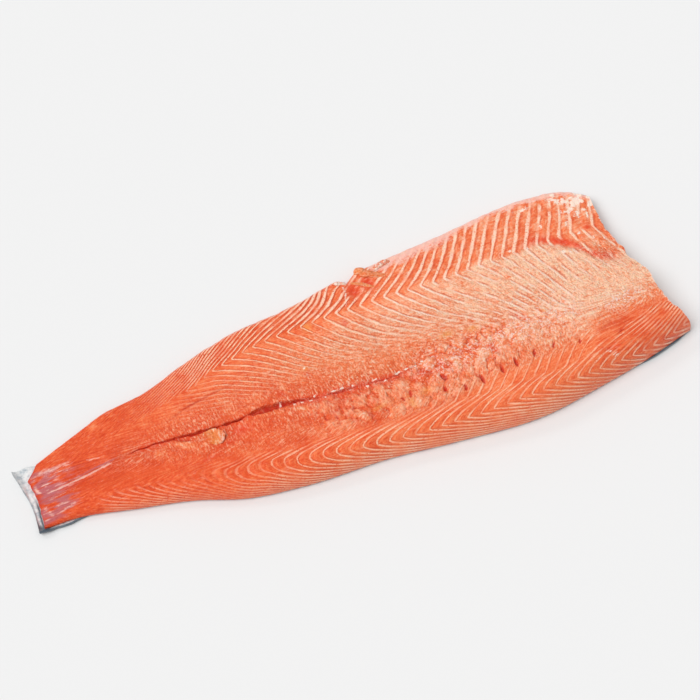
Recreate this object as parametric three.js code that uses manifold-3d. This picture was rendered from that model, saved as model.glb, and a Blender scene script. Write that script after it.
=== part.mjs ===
import * as THREE from "three";
import { mergeVertices } from "three/addons/utils/BufferGeometryUtils.js";
import Module from "manifold-3d";

// One side of raw salmon, skin down. Millimetres: +X to the head, +Y to the belly, +Z up.

// Driving dimensions
const length = 600;
const halfWidth = 104;
const loinThickness = 31;
const skinThickness = 1.2;
const skinGap = 0.3; // between the flesh and the skin
const flakePitch = 11.6; // along the fish, between two white lines of the loin
const tailPitch = 6.5; // the same, where the tail muscle ends
const rimHeight = 3; // height of the widest line of the flesh
const reliefDepth = 0.5; // half the height of a flake's bulge

const fleshBase = skinThickness + skinGap;
const wasm = await Module();
wasm.setup();

// ---- Curves -------------------------------------------------------------------------------

const clamp = THREE.MathUtils.clamp;
const lerp = THREE.MathUtils.lerp;
const smooth = (low, high, x) => THREE.MathUtils.smoothstep(x, low, high);
const bump = (distance, width) => Math.exp(-((distance / width) ** 2));

// A smooth curve through [place, value] stations: a cubic Hermite with chord slopes.
function through(stations) {
  const last = stations.length - 1;
  const chord = (i) => (stations[i + 1][1] - stations[i][1]) / (stations[i + 1][0] - stations[i][0]);
  const slopes = stations.map((station, i) => {
    if (i === 0 || i === last) return chord(Math.min(i, last - 1));
    const before = station[0] - stations[i - 1][0];
    const after = stations[i + 1][0] - station[0];
    return (chord(i - 1) * after + chord(i) * before) / (before + after);
  });
  return (place) => {
    const x = clamp(place, stations[0][0], stations[last][0]);
    const next = Math.max(1, stations.findIndex((station) => station[0] >= x));
    const [x0, y0] = stations[next - 1];
    const [x1, y1] = stations[next];
    const step = x1 - x0;
    const t = (x - x0) / step;
    const fromSlopes = t * (1 - t) * ((1 - t) * slopes[next - 1] - t * slopes[next]) * step;
    return y0 + t * t * (3 - 2 * t) * (y1 - y0) + fromSlopes;
  };
}

// The same along the fish: places are shares of the length from the tail, values times a scale.
function alongFish(scale, stations) {
  const curve = through(stations);
  return (x) => scale * curve(x / length + 0.5);
}

// Outline and thickness
const bellyEdge = alongFish(halfWidth, [
  [0, 0.27], [0.083, 0.433], [0.158, 0.558], [0.208, 0.582], [0.283, 0.712], [0.367, 0.817],
  [0.467, 0.851], [0.533, 0.913], [0.617, 0.952], [0.717, 0.981], [0.892, 1.01], [0.937, 0.96],
  [0.975, 0.8], [1, 0.64],
]);
const dorsalEdge = alongFish(halfWidth, [
  [0, -0.25], [0.058, -0.27], [0.133, -0.385], [0.217, -0.519], [0.283, -0.673], [0.367, -0.769],
  [0.5, -0.832], [0.6, -0.923], [0.733, -1.008], [0.833, -0.952], [0.933, -0.868], [1, -0.782],
]);
const thickness = alongFish(loinThickness, [
  [0, 0.23], [0.067, 0.29], [0.167, 0.45], [0.3, 0.645], [0.433, 0.806], [0.6, 0.935],
  [0.767, 1], [0.9, 0.968], [1, 0.871],
]);

// Rows where the muscle's white lines turn back, and the split along the middle
const bellyRow = alongFish(halfWidth, [
  [0, 0.14], [0.083, 0.21], [0.167, 0.31], [0.233, 0.385], [0.283, 0.445], [0.317, 0.515],
  [0.35, 0.55], [0.39, 0.585], [0.45, 0.59], [0.52, 0.58], [0.63, 0.54], [0.67, 0.51],
  [0.75, 0.495], [0.83, 0.48], [1, 0.45],
]);
const dorsalRow = alongFish(halfWidth, [
  [0, -0.19], [0.083, -0.24], [0.167, -0.33], [0.233, -0.4], [0.285, -0.505], [0.317, -0.54],
  [0.368, -0.625], [0.42, -0.68], [0.475, -0.735], [0.53, -0.785], [0.593, -0.83], [0.64, -0.86],
  [0.7, -0.88], [0.76, -0.885], [0.83, -0.865], [0.9, -0.825], [1, -0.75],
]);
const middleSplit = alongFish(halfWidth, [
  [0, 0.01], [0.137, 0.06], [0.175, 0.067], [0.217, 0.038], [0.25, 0], [0.313, -0.043],
  [0.367, -0.058], [0.4, -0.1], [0.438, -0.154], [0.475, -0.188], [0.513, -0.216], [0.55, -0.25],
  [0.6, -0.225], [0.75, -0.23], [1, -0.29],
]);
// The lower border of the belly flap leaves the belly row near the head and drops to the cut.
const flapDrop = alongFish(halfWidth, [
  [0.83, 0], [0.858, 0.01], [0.883, 0.1], [0.9, 0.18], [0.917, 0.35], [0.95, 0.43], [1, 0.45],
]);
const flapBorder = (x) => bellyRow(x) - flapDrop(x);

// How far along the fish a white line runs for each millimetre across it, in each arm of its W
const outerSlope = alongFish(1, [
  [0, 4.5], [0.25, 3.6], [0.4, 2.35], [0.475, 2.4], [0.53, 1.75], [0.6, 1.4], [0.667, 1.45],
  [0.7, 1.1], [0.73, 0.85], [0.76, 0.7], [0.83, 0.68], [0.9, 0.6], [0.94, 0.45], [1, 0.4],
]);
const innerSlope = alongFish(1, [
  [0, 3], [0.25, 2.2], [0.38, 1.25], [0.42, 1], [0.5, 0.66], [0.55, 0.6], [0.62, 0.66],
  [0.75, 0.68], [0.83, 0.32], [1, 0.18],
]);
const innerTurn = alongFish(1, [
  [0, 1], [0.4, 1], [0.5, 1.5], [0.62, 1.3], [0.72, 0.5], [0.83, 0.2],
]);
const backSlope = alongFish(1, [
  [0, 0.5], [0.28, 0.6], [0.37, 0.7], [0.425, 1.5], [0.475, 2.4], [0.52, 3], [0.56, 2.9],
  [0.6, 2.4], [0.65, 2], [0.72, 1.8], [0.83, 2.2], [0.875, 2.9], [1, 3.5],
]);
const backTurn = alongFish(1, [
  [0, 18], [0.37, 20], [0.425, 18], [0.475, 10], [0.52, 6], [0.83, 6], [0.88, 0],
]);
const edgeSlope = alongFish(1, [
  [0, 0], [0.42, 0], [0.53, 1.8], [0.6, 2.6], [0.67, 1.4], [0.83, 3.2], [1, 4],
]);
const edgeBend = alongFish(1, [
  [0, 0.05], [0.28, 0.08], [0.42, 0.24], [0.6, 0.12], [0.68, 0.22], [0.83, 0.3],
]);

const turnRadius = 2;
const turned = (distance) => Math.hypot(distance, turnRadius) - turnRadius;
const bandWidth = 13; // of the close parallel lines above the dorsal row
const bandEnd = 18; // how far above the band the lines still lean this much:
const aboveLean = 1.1;
const farLean = 0.3; // and how much they lean further up
const innerReach = 42; // how far below the belly row the lines stay straight
const innerSoft = 8; // over which they then bend
const softStep = (distance, soft) => soft * Math.log1p(Math.exp(distance / soft));

// How far a white line has moved towards the head at (x, y), counted from its dorsal or belly turn.
function lineShift(x, y) {
  const row = bellyRow(x);
  const border = flapBorder(x);
  const onFlap = turned(Math.max(y - row, 0)) - Math.max(row - Math.max(y, border), 0);
  const outer = outerSlope(x) * onFlap;
  const below = Math.max(border - y, 0);
  const inner = innerSlope(x) * turned(below) + innerTurn(x) * softStep(below - innerReach, innerSoft);
  const back = Math.max(y - dorsalRow(x), 0);
  const inBand = backSlope(x) * turned(Math.min(back, bandWidth)) + backTurn(x) * smooth(4, 15, back);
  const above = back - bandWidth;
  const aboveBand = aboveLean * clamp(above, 0, bandEnd) + farLean * Math.max(above - bandEnd, 0);
  const edge = Math.max(dorsalRow(x) - y, 0);
  const onEdge = edgeSlope(x) * turned(edge) + edgeBend(x) * edge * edge;
  const side = smooth(middleSplit(x) - 24, middleSplit(x) + 14, y);
  // Past both ends the lines straighten, so that the first and the last are plain cross-sections.
  const inside = smooth(-500, -302, x) * (1 - smooth(304, 345, x));
  return inside * lerp(inBand + aboveBand + onEdge, outer + inner, side);
}

// The count of white lines from the middle to a turn at x; they close up towards the tail.
function lineCount(x) {
  const closeUp = -60;
  const reach = 60;
  const behind = Math.min(x - closeUp, 0);
  const ahead = (Math.max(x, closeUp) - 1) / flakePitch;
  const mix = (tailPitch + (flakePitch - tailPitch) * Math.exp(behind / reach)) / flakePitch;
  return ahead + (behind - reach * Math.log(mix)) / tailPitch;
}

// ---- The flesh's height -------------------------------------------------------------------

const dorsalRound = 0.1; // share of the width where the loin rounds down
const bellyRound = 0.035; // the same at the belly
const bellyThin = 0.62; // how much thinner the belly is than the loin
const quarterRound = (share) => Math.sqrt(1 - (1 - clamp(share, 0, 1)) ** 2);

// The flakes show on the belly flap and along the back, and fade at the middle and the tail.
function flakeShow(x, y) {
  const flap = smooth(-10, 14, y - bellyRow(x)) * lerp(1, 1.9, smooth(80, 180, x));
  const inner = 0.8 * smooth(-75, -40, y - bellyRow(x)) * smooth(-130, -60, x) * (1 - smooth(120, 200, x));
  const back = 1 - smooth(8, 20, y - dorsalRow(x));
  return Math.max(flap, inner, back) * smooth(-230, -120, x);
}

// A lip on the belly side of the split and a slope down to it on the dorsal side
const splitShow = (x) => smooth(-212, -185, x) * (1 - smooth(30, 66, x));
function splitLip(x, y) {
  const side = y - middleSplit(x);
  return splitShow(x) * (0.9 * bump(side - 5, 5) - 1.6 * bump(side + 3, 5));
}

// Shallow hollows: beside the curled flake, under the torn belly edge, and along the flap's border
const hollows = [
  { x: -119, y: -12, wide: 10, high: 8, depth: 1.8 },
  { x: 36, y: 77, wide: 8, high: 7, depth: 1.6 },
  { x: 54, y: 76, wide: 6, high: 7, depth: 1.2 },
  { x: 213, y: -79, wide: 6, high: 4, depth: 1.4 },
];

// Soft unevenness: half a millimetre over about 10 cm, and less over about 5 cm
const swell = (x, y) =>
  0.5 * Math.sin(x / 17 + y / 31) * Math.sin(y / 19 - x / 43) + 0.3 * Math.sin(x / 7.3) * Math.sin(y / 8.1);

function relief(x, y) {
  const line = lineCount(x - lineShift(x, y));
  const flakes = -reliefDepth * Math.cos(2 * Math.PI * line) * flakeShow(x, y);
  const border = -1.4 * bump(y - flapBorder(x), 5) * smooth(200, 225, x);
  const pitAt = (pit) => pit.depth * bump(Math.hypot((x - pit.x) / pit.wide, (y - pit.y) / pit.high), 1);
  const pits = hollows.reduce((sum, pit) => sum + pitAt(pit), 0);
  return flakes + swell(x, y) + border + splitLip(x, y) - pits;
}

function topHeight(x, y) {
  const across = clamp((y - dorsalEdge(x)) / (bellyEdge(x) - dorsalEdge(x)), 0, 1);
  const rounding = quarterRound(across / dorsalRound) * quarterRound((1 - across) / bellyRound);
  const full = thickness(x) - rimHeight + relief(x, y);
  return rimHeight + full * (1 - bellyThin * smooth(0.3, 1, across)) * rounding;
}

// ---- Solids -------------------------------------------------------------------------------

// A closed solid over closed loops with equal counts, in order from the tail to the head.
// Each loop runs along the underside from dorsal to belly and back over the top.
function loft(loops) {
  const count = loops[0].length;
  const positions = loops.flat().flatMap((point) => point);
  const triangles = [];
  for (let i = 0; i + 1 < loops.length; i++) {
    for (let j = 0; j < count; j++) {
      const a = i * count + j;
      const b = i * count + ((j + 1) % count);
      triangles.push(a, b, a + count, b, b + count, a + count);
    }
  }
  const lastLoop = (loops.length - 1) * count;
  for (let j = 1; j + 1 < count; j++) {
    triangles.push(0, j + 1, j);
    triangles.push(lastLoop, lastLoop + j, lastLoop + j + 1);
  }
  return new wasm.Manifold(
    new wasm.Mesh({
      numProp: 3,
      vertProperties: new Float32Array(positions),
      triVerts: new Uint32Array(triangles),
    }),
  );
}

function solidFrom(geometry) {
  geometry.deleteAttribute("normal");
  geometry.deleteAttribute("uv");
  const merged = mergeVertices(geometry);
  return new wasm.Manifold(
    new wasm.Mesh({
      numProp: 3,
      vertProperties: merged.attributes.position.array,
      triVerts: Uint32Array.from(merged.index.array),
    }),
  );
}

function meshOf(solid, name, material) {
  const { vertProperties, triVerts } = solid.getMesh();
  const geometry = new THREE.BufferGeometry();
  geometry.setAttribute("position", new THREE.BufferAttribute(vertProperties, 3));
  geometry.setIndex(new THREE.BufferAttribute(triVerts, 1));
  geometry.computeVertexNormals();
  const mesh = new THREE.Mesh(geometry, material);
  mesh.name = name;
  return mesh;
}

// The knife's two cuts: a hollow curve at the tail, and a slanting, slightly ragged one at the head
const tailCut = (y) => 7 - length / 2 - 2.2 * (y / 25) ** 2;
const headLine = through([
  [-100, 299], [-80, 295], [-60, 290], [-40, 286], [-20, 286], [0, 280], [20, 278], [50, 278],
  [75, 283], [110, 290],
]);
const headCut = (y) => headLine(y) + 0.6 * Math.sin(y / 3.1) + 0.4 * Math.sin(y / 1.7);

// An upright block between both cuts, each moved out by its margin
function betweenCuts(tailLine, headMargin) {
  const reach = 1.2 * halfWidth;
  const step = 6;
  const outline = [];
  for (let y = -reach; y <= reach; y += step) {
    outline.push(new THREE.Vector2(headCut(y) + headMargin(y), y));
  }
  for (let y = reach; y >= -reach; y -= step) {
    outline.push(new THREE.Vector2(tailLine(y), y));
  }
  const depth = 4 * loinThickness;
  const block = new THREE.ExtrudeGeometry(new THREE.Shape(outline), { depth, bevelEnabled: false });
  block.translate(0, 0, -loinThickness);
  return solidFrom(block);
}

// A wedge-shaped groove under the surface along a path, deepest in the middle of its run.
// It leans under the belly side by its undercut.
function groove({ from, to, path, depth, wide, undercut, steps }) {
  const loops = [];
  for (let i = 0; i <= steps; i++) {
    const share = i / steps;
    const x = lerp(from, to, share);
    const y = path(x);
    const open = Math.sin(Math.PI * share) ** 0.6 + 0.05;
    const half = wide(x) * open;
    const deep = depth * open;
    const top = topHeight(x, y);
    loops.push([
      [x, y - half * 1.6, top + 4],
      [x, y - half * 0.5, top - deep * 0.5],
      [x, y + undercut * open, top - deep],
      [x, y + half * 0.4, top - deep * 0.35],
      [x, y + half * 0.4, top + 4],
    ]);
  }
  return loft(loops);
}

// A slit or hole left by a pulled bone: a thin ellipsoid sunk in the surface
function slit({ x, y, wide, long, lean, depth }) {
  const pit = new THREE.SphereGeometry(1, 7, 4);
  pit.rotateX(Math.PI / 2);
  pit.scale(wide / 2, long / 2, depth);
  pit.rotateZ(-lean);
  pit.translate(x, y, topHeight(x, y) + 0.4);
  return solidFrom(pit);
}

const boneSlits = [
  { x: 64, y: -57, wide: 3.4, long: 6, lean: 0.1, depth: 3 },
  { x: 81, y: -63, wide: 2.6, long: 7, lean: 0.2, depth: 3.5 },
  { x: 98, y: -61, wide: 3.2, long: 11, lean: 0, depth: 4 },
  { x: 118, y: -60, wide: 2.8, long: 9, lean: 0.2, depth: 3.5 },
  { x: 132, y: -59, wide: 3, long: 11, lean: 0.1, depth: 4 },
  { x: 151, y: -57, wide: 2.4, long: 9, lean: 0.45, depth: 3.5 },
  { x: 170, y: -57, wide: 2.4, long: 6, lean: 0.5, depth: 3 },
  { x: 193, y: -63, wide: 2, long: 5, lean: 0.4, depth: 2.5 },
  { x: 215, y: -62, wide: 2.2, long: 6.5, lean: 0.5, depth: 3 },
  { x: 232, y: -68, wide: 2, long: 4, lean: 0.6, depth: 2 },
];
const smallHoles = [
  { x: -41, y: -38, wide: 2, long: 5, lean: 0.1, depth: 2 },
  { x: -32, y: -42, wide: 2.4, long: 4, lean: 0, depth: 2 },
  { x: -16, y: -40, wide: 2.4, long: 5, lean: 0.9, depth: 2 },
  { x: 27, y: -50, wide: 2.2, long: 5, lean: -0.5, depth: 2 },
  { x: 35, y: -48, wide: 3, long: 9, lean: 0.3, depth: 1.8 },
  { x: 68, y: -46, wide: 5, long: 9, lean: -0.5, depth: 1.8 },
];

// The flake that has come loose below the split: a leaf that curls up at its head end
function looseFlake() {
  const root = -156;
  const tip = -127;
  const steps = 7;
  const loops = [];
  for (let i = 0; i <= steps; i++) {
    const share = i / steps;
    const x = lerp(root, tip, share);
    const middle = lerp(-7, -12.5, share);
    const half = lerp(3, 7.5, Math.sin(share * 1.9));
    const lift = lerp(-1.2, 2.6, share ** 1.5);
    const thick = lerp(1.4, 0.7, share);
    const over = [-1, -0.5, 0, 0.5, 1].map((side) => {
      const bulge = thick * Math.sqrt(1.05 - side * side);
      return [x + 2 * (1 - side * side), middle + side * half, topHeight(x, middle) + lift + bulge];
    });
    const under = over.map(([px, py]) => [px, py, topHeight(x, middle) + lift - thick]);
    loops.push([...under, ...over.reverse()]);
  }
  return loft(loops);
}

// ---- Flesh --------------------------------------------------------------------------------

// The grid's lanes follow the outline and the rows; its lines follow the white lines.
const bandTop = (x) => dorsalRow(x) + bandWidth + 1;
const rows = [dorsalEdge, dorsalRow, bandTop, bellyRow, bellyEdge];
const laneCounts = [5, 4, 14, 6];
const laneBends = [1.5, 1, 1, 0.7]; // lanes crowd towards the rounded rims
const lanes = [dorsalEdge];
laneCounts.forEach((count, k) => {
  for (let i = 1; i <= count; i++) {
    const share = (i / count) ** laneBends[k];
    lanes.push((x) => lerp(rows[k](x), rows[k + 1](x), share));
  }
});

// Where a lane meets a given white line, by halving: the count grows towards the head.
function meet(lane, line) {
  let low = -560;
  let high = 420;
  for (let i = 0; i < 40; i++) {
    const x = (low + high) / 2;
    if (lineCount(x - lineShift(x, lane(x))) < line) low = x;
    else high = x;
  }
  return low;
}

function fleshSlab() {
  const baseInset = 1;
  const smoothTail = lineCount(-250); // the tail's flakes are too slight for relief
  const loops = [];
  let line = Math.ceil(lineCount(-520));
  while (line < lineCount(360)) {
    const over = lanes.map((lane) => {
      const x = meet(lane, line);
      return [x, lane(x), topHeight(x, lane(x))];
    });
    const [xDorsal, yDorsal] = over[0];
    const [xBelly, yBelly] = over[over.length - 1];
    const under = [
      [xDorsal, yDorsal + baseInset, fleshBase],
      [xBelly, yBelly - baseInset, fleshBase],
    ];
    loops.push([...under, ...over.reverse()]);
    line += line < smoothTail ? 2 : 0.5;
  }
  return loft(loops);
}

function flesh(material) {
  const split = groove({
    from: -209, to: 58, path: middleSplit, depth: 5, undercut: 2.2, steps: 60,
    wide: (x) => 0.9 + 2.6 * bump(x + 80, 24) + 0.7 * bump(x + 140, 20),
  });
  const crease = groove({
    from: -166, to: -96, path: (x) => lerp(21, 32, smooth(-170, -115, x)),
    depth: 1.6, undercut: 0.8, steps: 14, wide: () => 0.8,
  });
  const cuts = [split, crease, ...[...boneSlits, ...smallHoles].map(slit)];
  const whole = fleshSlab().intersect(betweenCuts(tailCut, () => 0)).add(looseFlake());
  return meshOf(cuts.reduce((body, cut) => body.subtract(cut), whole), "flesh", material);
}

// ---- Skin ---------------------------------------------------------------------------------

// It stands out past the flesh at the tail and curls up there, and its dorsal edge rises as a
// lip beside the flesh near the head.
const tailOverhang = 8;
const tailCurl = 5; // how high it has risen at its full reach
const curlStart = -297; // just past the end of the flesh
const skinMargin = (x) => 0.5 + 3 * (1 - smooth(-285, -240, x)) + 1 * smooth(200, 290, x);
const lipHeight = (x) => skinThickness + 0.5 + 1.2 * (1 - smooth(-280, -235, x)) + 3.6 * smooth(190, 290, x);

function skin(material) {
  const loops = [];
  const stations = 72;
  for (let i = 0; i <= stations; i++) {
    const share = i / stations; // stations crowd towards the curled tail
    const x = lerp(-0.51, 0.52, 0.2 * share + 0.8 * share ** 1.6) * length;
    const curl = tailCurl * Math.max(0, (curlStart - x) / tailOverhang) ** 1.6;
    const outer = dorsalEdge(x) - skinMargin(x) - skinGap;
    const inner = Math.min(outer + skinThickness, dorsalEdge(x) - skinGap);
    const belly = bellyEdge(x) - 0.6 + 1.2 * (1 - smooth(-290, -250, x));
    const lip = lipHeight(x);
    const loop = [
      [outer, lip],
      [outer + 0.1, skinThickness * 0.6],
      [outer + 1.4, 0],
      [belly - 1, 0],
      [belly, skinThickness * 0.6],
      [belly - 0.8, skinThickness],
      [dorsalEdge(x) + 1.6, skinThickness],
      [dorsalEdge(x) + 0.5, skinThickness + 0.1],
      [inner, skinThickness + 0.6],
      [inner, lip + 0.1],
    ];
    loops.push(loop.map(([y, z]) => [x, y, z + curl]));
  }
  const tailLine = (y) => tailCut(y) - tailOverhang + 2 - 0.05 * y;
  const overhang = (y) => 0.8 + 5 * (1 - smooth(-90, -78, y));
  const sheet = loft(loops).intersect(betweenCuts(tailLine, overhang));
  return meshOf(sheet, "skin", material);
}

// ---- The fillet ---------------------------------------------------------------------------

const fleshMaterial = new THREE.MeshStandardMaterial({
  name: "flesh",
  color: 0xef8257,
  roughness: 0.35,
  metalness: 0,
});
const skinMaterial = new THREE.MeshStandardMaterial({
  name: "skin",
  color: 0x8d979d,
  roughness: 0.3,
  metalness: 0.2,
});

const fillet = new THREE.Group();
fillet.add(flesh(fleshMaterial), skin(skinMaterial));

// The origin is below the middle of the fillet's box.
const box = new THREE.Box3().setFromObject(fillet);
const middle = box.getCenter(new THREE.Vector3());
fillet.position.set(-middle.x, -middle.y, -box.min.z);

export default fillet;
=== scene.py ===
import math
import bpy
import numpy as np
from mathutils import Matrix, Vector


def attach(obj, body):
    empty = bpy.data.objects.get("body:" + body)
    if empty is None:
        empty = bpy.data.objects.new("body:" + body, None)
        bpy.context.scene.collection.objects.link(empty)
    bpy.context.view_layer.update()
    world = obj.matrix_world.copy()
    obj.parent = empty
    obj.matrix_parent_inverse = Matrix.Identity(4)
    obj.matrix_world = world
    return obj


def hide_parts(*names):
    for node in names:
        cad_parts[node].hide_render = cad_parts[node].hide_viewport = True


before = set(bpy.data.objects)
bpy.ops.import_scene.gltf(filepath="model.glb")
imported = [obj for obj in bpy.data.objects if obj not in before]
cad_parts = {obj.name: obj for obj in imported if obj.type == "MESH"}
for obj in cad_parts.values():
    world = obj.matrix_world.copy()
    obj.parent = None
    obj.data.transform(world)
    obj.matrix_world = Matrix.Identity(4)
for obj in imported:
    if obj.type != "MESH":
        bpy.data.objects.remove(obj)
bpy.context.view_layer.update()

mm = 0.001

# the fish lies along X with its head end at +X and its belly at +Y; its lines are laid out in mm
# round the middle of the knife's cut, and shift carries them to the middle of the whole box
fish = {
    "length": 600,
    "halfWidth": 104,
    "thickness": 31,
    "skinThickness": 1.2,
    "fleshBase": 1.5,
    "rimHeight": 3,
    "backRounding": 0.1,  # shares of the width over which the two edges are rounded
    "bellyRounding": 0.035,
    "bellyThinning": 0.62,  # share of the thickness that is gone at the belly edge
    "shift": (2.434, -0.695),
}


def smooth(low, high, x):
    # 3t^2 - 2t^3 of the share t of the way from low to high; where low is the larger, it falls
    t = np.clip((x - low) / (high - low), 0, 1)
    return t * t * (3 - 2 * t)


def bump(distance, width):
    # exp(-(distance / width)^2)
    return np.exp(-((distance / width) ** 2))


def mix(a, b, share):
    return a + (b - a) * share


def through(stations):
    # cubic Hermite through (place, value) stations; a slope is the mean of its two chords,
    # each weighed by the other's length
    place, value = np.array(stations, float).T
    step = np.diff(place)
    chord = np.diff(value) / step
    inner = (chord[:-1] * step[1:] + chord[1:] * step[:-1]) / (step[:-1] + step[1:])
    slope = np.concatenate([chord[:1], inner, chord[-1:]])

    def curve(x):
        x = np.clip(x, place[0], place[-1])
        k = np.clip(np.searchsorted(place, x) - 1, 0, len(step) - 1)
        t = (x - place[k]) / step[k]
        bend = t * (1 - t) * ((1 - t) * slope[k] - t * slope[k + 1]) * step[k]
        return value[k] + t * t * (3 - 2 * t) * (value[k + 1] - value[k]) + bend

    return curve


def alongFish(scale, stations):
    # places are shares of the fish's length from the tail
    curve = through(stations)
    return lambda x: scale * curve(x / fish["length"] + 0.5)


def unevenness(x, y, size, seed):
    # random heights from -1 to 1 on a turned lattice of this size, blended between corners by
    # 3t^2 - 2t^3; the lattice repeats after its wide by tall squares
    wide, tall = 211, 197
    lattice = np.random.default_rng(seed).uniform(-1, 1, (wide, tall))
    c, s = math.cos(seed), math.sin(seed)
    u, v = (c * x + s * y) / size, (c * y - s * x) / size
    i, j = np.floor(u).astype(int), np.floor(v).astype(int)
    a, b = u - i, v - j
    a, b = a * a * (3 - 2 * a), b * b * (3 - 2 * b)
    i0, j0, i1, j1 = i % wide, j % tall, (i + 1) % wide, (j + 1) % tall
    low = mix(lattice[i0, j0], lattice[i1, j0], a)
    high = mix(lattice[i0, j1], lattice[i1, j1], a)
    return mix(low, high, b)


def cells(x, y, size, seed):
    # one centre strays in each square of this size: the distance to the nearest, how much farther
    # the next one is, both in sizes, and the nearest one's own number from 0 to 1
    wide, tall = 97, 89
    strayX, strayY, own = np.random.default_rng(seed).uniform(0.05, 0.95, (3, wide, tall))
    c, s = math.cos(seed), math.sin(seed)
    u, v = (c * x + s * y) / size, (c * y - s * x) / size
    first, second, number = 9 + 0 * u, 9 + 0 * u, 0 * u  # 9 is farther than any centre
    for stepX in (-1, 0, 1):
        for stepY in (-1, 0, 1):
            i, j = np.floor(u).astype(int) + stepX, np.floor(v).astype(int) + stepY
            at = i % wide, j % tall
            away = np.hypot(i + strayX[at] - u, j + strayY[at] - v)
            number = np.where(away < first, own[at], number)
            second = np.where(away < first, first, np.minimum(second, away))
            first = np.minimum(first, away)
    return first, second - first, number


def spot(x, y, place, size, lean=0.0):
    # 1 at the place and falling as a bell over the half sizes, with its long side leaning by an angle
    dx, dy = x - place[0], y - place[1]
    c, s = math.cos(lean), math.sin(lean)
    return np.exp(-(((c * dx + s * dy) / size[0]) ** 2) - ((-s * dx + c * dy) / size[1]) ** 2)


def farFrom(x, y, path):
    # distance to the nearest stretch of a path, and the share of the path run there
    best = np.full(np.shape(x), 1e9)
    run = np.zeros(np.shape(x))
    total = sum(math.dist(a, b) for a, b in zip(path, path[1:]))
    done = 0
    for (ax, ay), (bx, by) in zip(path, path[1:]):
        size = math.dist((ax, ay), (bx, by))
        t = np.clip(((x - ax) * (bx - ax) + (y - ay) * (by - ay)) / size ** 2, 0, 1)
        away = np.hypot(x - ax - t * (bx - ax), y - ay - t * (by - ay))
        run = np.where(away < best, (done + t * size) / total, run)
        best = np.minimum(away, best)
        done += size
    return best, run


def furrow(x, y, path, width):
    # exp(-(distance / width)^2) along a path, fading to its ends as the square root of a half sine
    away, run = farFrom(x, y, path)
    return bump(away, width) * np.sin(np.pi * run) ** 0.5


def linear(color):
    # sRGB hex to linear RGBA
    parts = [int(color[i:i + 2], 16) / 255 for i in (1, 3, 5)]
    return [p / 12.92 if p <= 0.04045 else ((p + 0.055) / 1.055) ** 2.4 for p in parts] + [1.0]


def clamped(rows):
    # rows of places that rise and stand still at both ends: each place's step along its row, with one
    # step for all that stand still at an end
    first = np.array([np.searchsorted(row, row[0], side="right") - 1 for row in rows])
    last = np.array([np.searchsorted(row, row[-1], side="left") for row in rows])
    return np.clip(np.arange(rows.shape[1]), first[:, None], last[:, None])


def corners(index, closed=False):
    # the corners of every cell in a grid of point numbers, going round it; a closed grid joins its last
    # column to its first
    right = np.roll(index, -1, axis=1)
    end = None if closed else -1
    return [numbers[:, :end].ravel() for numbers in (index[:-1], right[:-1], right[1:], index[1:])]


def halved(a, b, c, d):
    # two triangles for each cell
    return [np.stack([a, b, c], 1), np.stack([a, c, d], 1)]


def packed(faces):
    # leaves out triangles that use a point twice; gives the rest by new numbers, and the points they use
    faces = faces[(faces != np.roll(faces, 1, axis=1)).all(axis=1)]
    used, numbers = np.unique(faces, return_inverse=True)
    return numbers.reshape(faces.shape), used


def addMesh(name, points, faces, attributes, sharp):
    # points in mm of the fish's own lines become a mesh in metres of the whole's frame; edges sharper
    # than this many degrees stay sharp
    mesh = bpy.data.meshes.new(name)
    mesh.from_pydata((points + np.array([*fish["shift"], 0.0])) * mm, [], faces)
    mesh.update()
    for key, value in attributes.items():
        layer = mesh.attributes.new(key, "FLOAT", "POINT")
        layer.data.foreach_set("value", np.asarray(value, np.float32))
    mesh.shade_smooth()
    mesh.set_sharp_from_angle(angle=math.radians(sharp))
    piece = bpy.data.objects.new(name, mesh)
    bpy.context.scene.collection.objects.link(piece)
    return piece


def addNode(tree, kind, settings=None, links=None):
    # a node with its own settings; links gives each input, by name or number, a value, node or socket
    node = tree.nodes.new(kind)
    for key, value in (settings or {}).items():
        setattr(node, key, value)
    for key, value in (links or {}).items():
        if isinstance(value, bpy.types.Node):
            value = next(s for s in value.outputs if s.enabled)
        if isinstance(value, bpy.types.NodeSocket):
            tree.links.new(value, node.inputs[key])
        else:
            node.inputs[key].default_value = value
    return node


def addMath(tree, operation, *values):
    return addNode(tree, "ShaderNodeMath", {"operation": operation}, dict(enumerate(values)))


def addMix(tree, kind, share, low, high):
    # from low to high by the share; the sockets of floats start at 2 and those of colours at 6
    first = 6 if kind == "RGBA" else 2
    return addNode(tree, "ShaderNodeMix", {"data_type": kind}, {0: share, first: low, first + 1: high})


def addNoise(tree, place, scale, octaves):
    return addNode(tree, "ShaderNodeTexNoise", {}, {"Vector": place, "Scale": scale, "Detail": octaves})


def addRamp(tree, stops, value):
    # stops are places from 0 to 1 with their hex colours
    ramp = addNode(tree, "ShaderNodeValToRGB", {}, {"Fac": value})
    for _ in stops[2:]:
        ramp.color_ramp.elements.new(0.5)
    for element, (position, color) in zip(ramp.color_ramp.elements, stops):
        element.position = position
        element.color = linear(color)
    return ramp.outputs["Color"]


def newMaterial(name, attributes):
    # an empty tree, and a socket for each of the mesh's attributes
    material = bpy.data.materials.new(name)
    material.use_nodes = True
    tree = material.node_tree
    tree.nodes.clear()
    zone = {key: addNode(tree, "ShaderNodeAttribute", {"attribute_name": key}).outputs["Fac"]
            for key in attributes}
    return material, tree, zone


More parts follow.
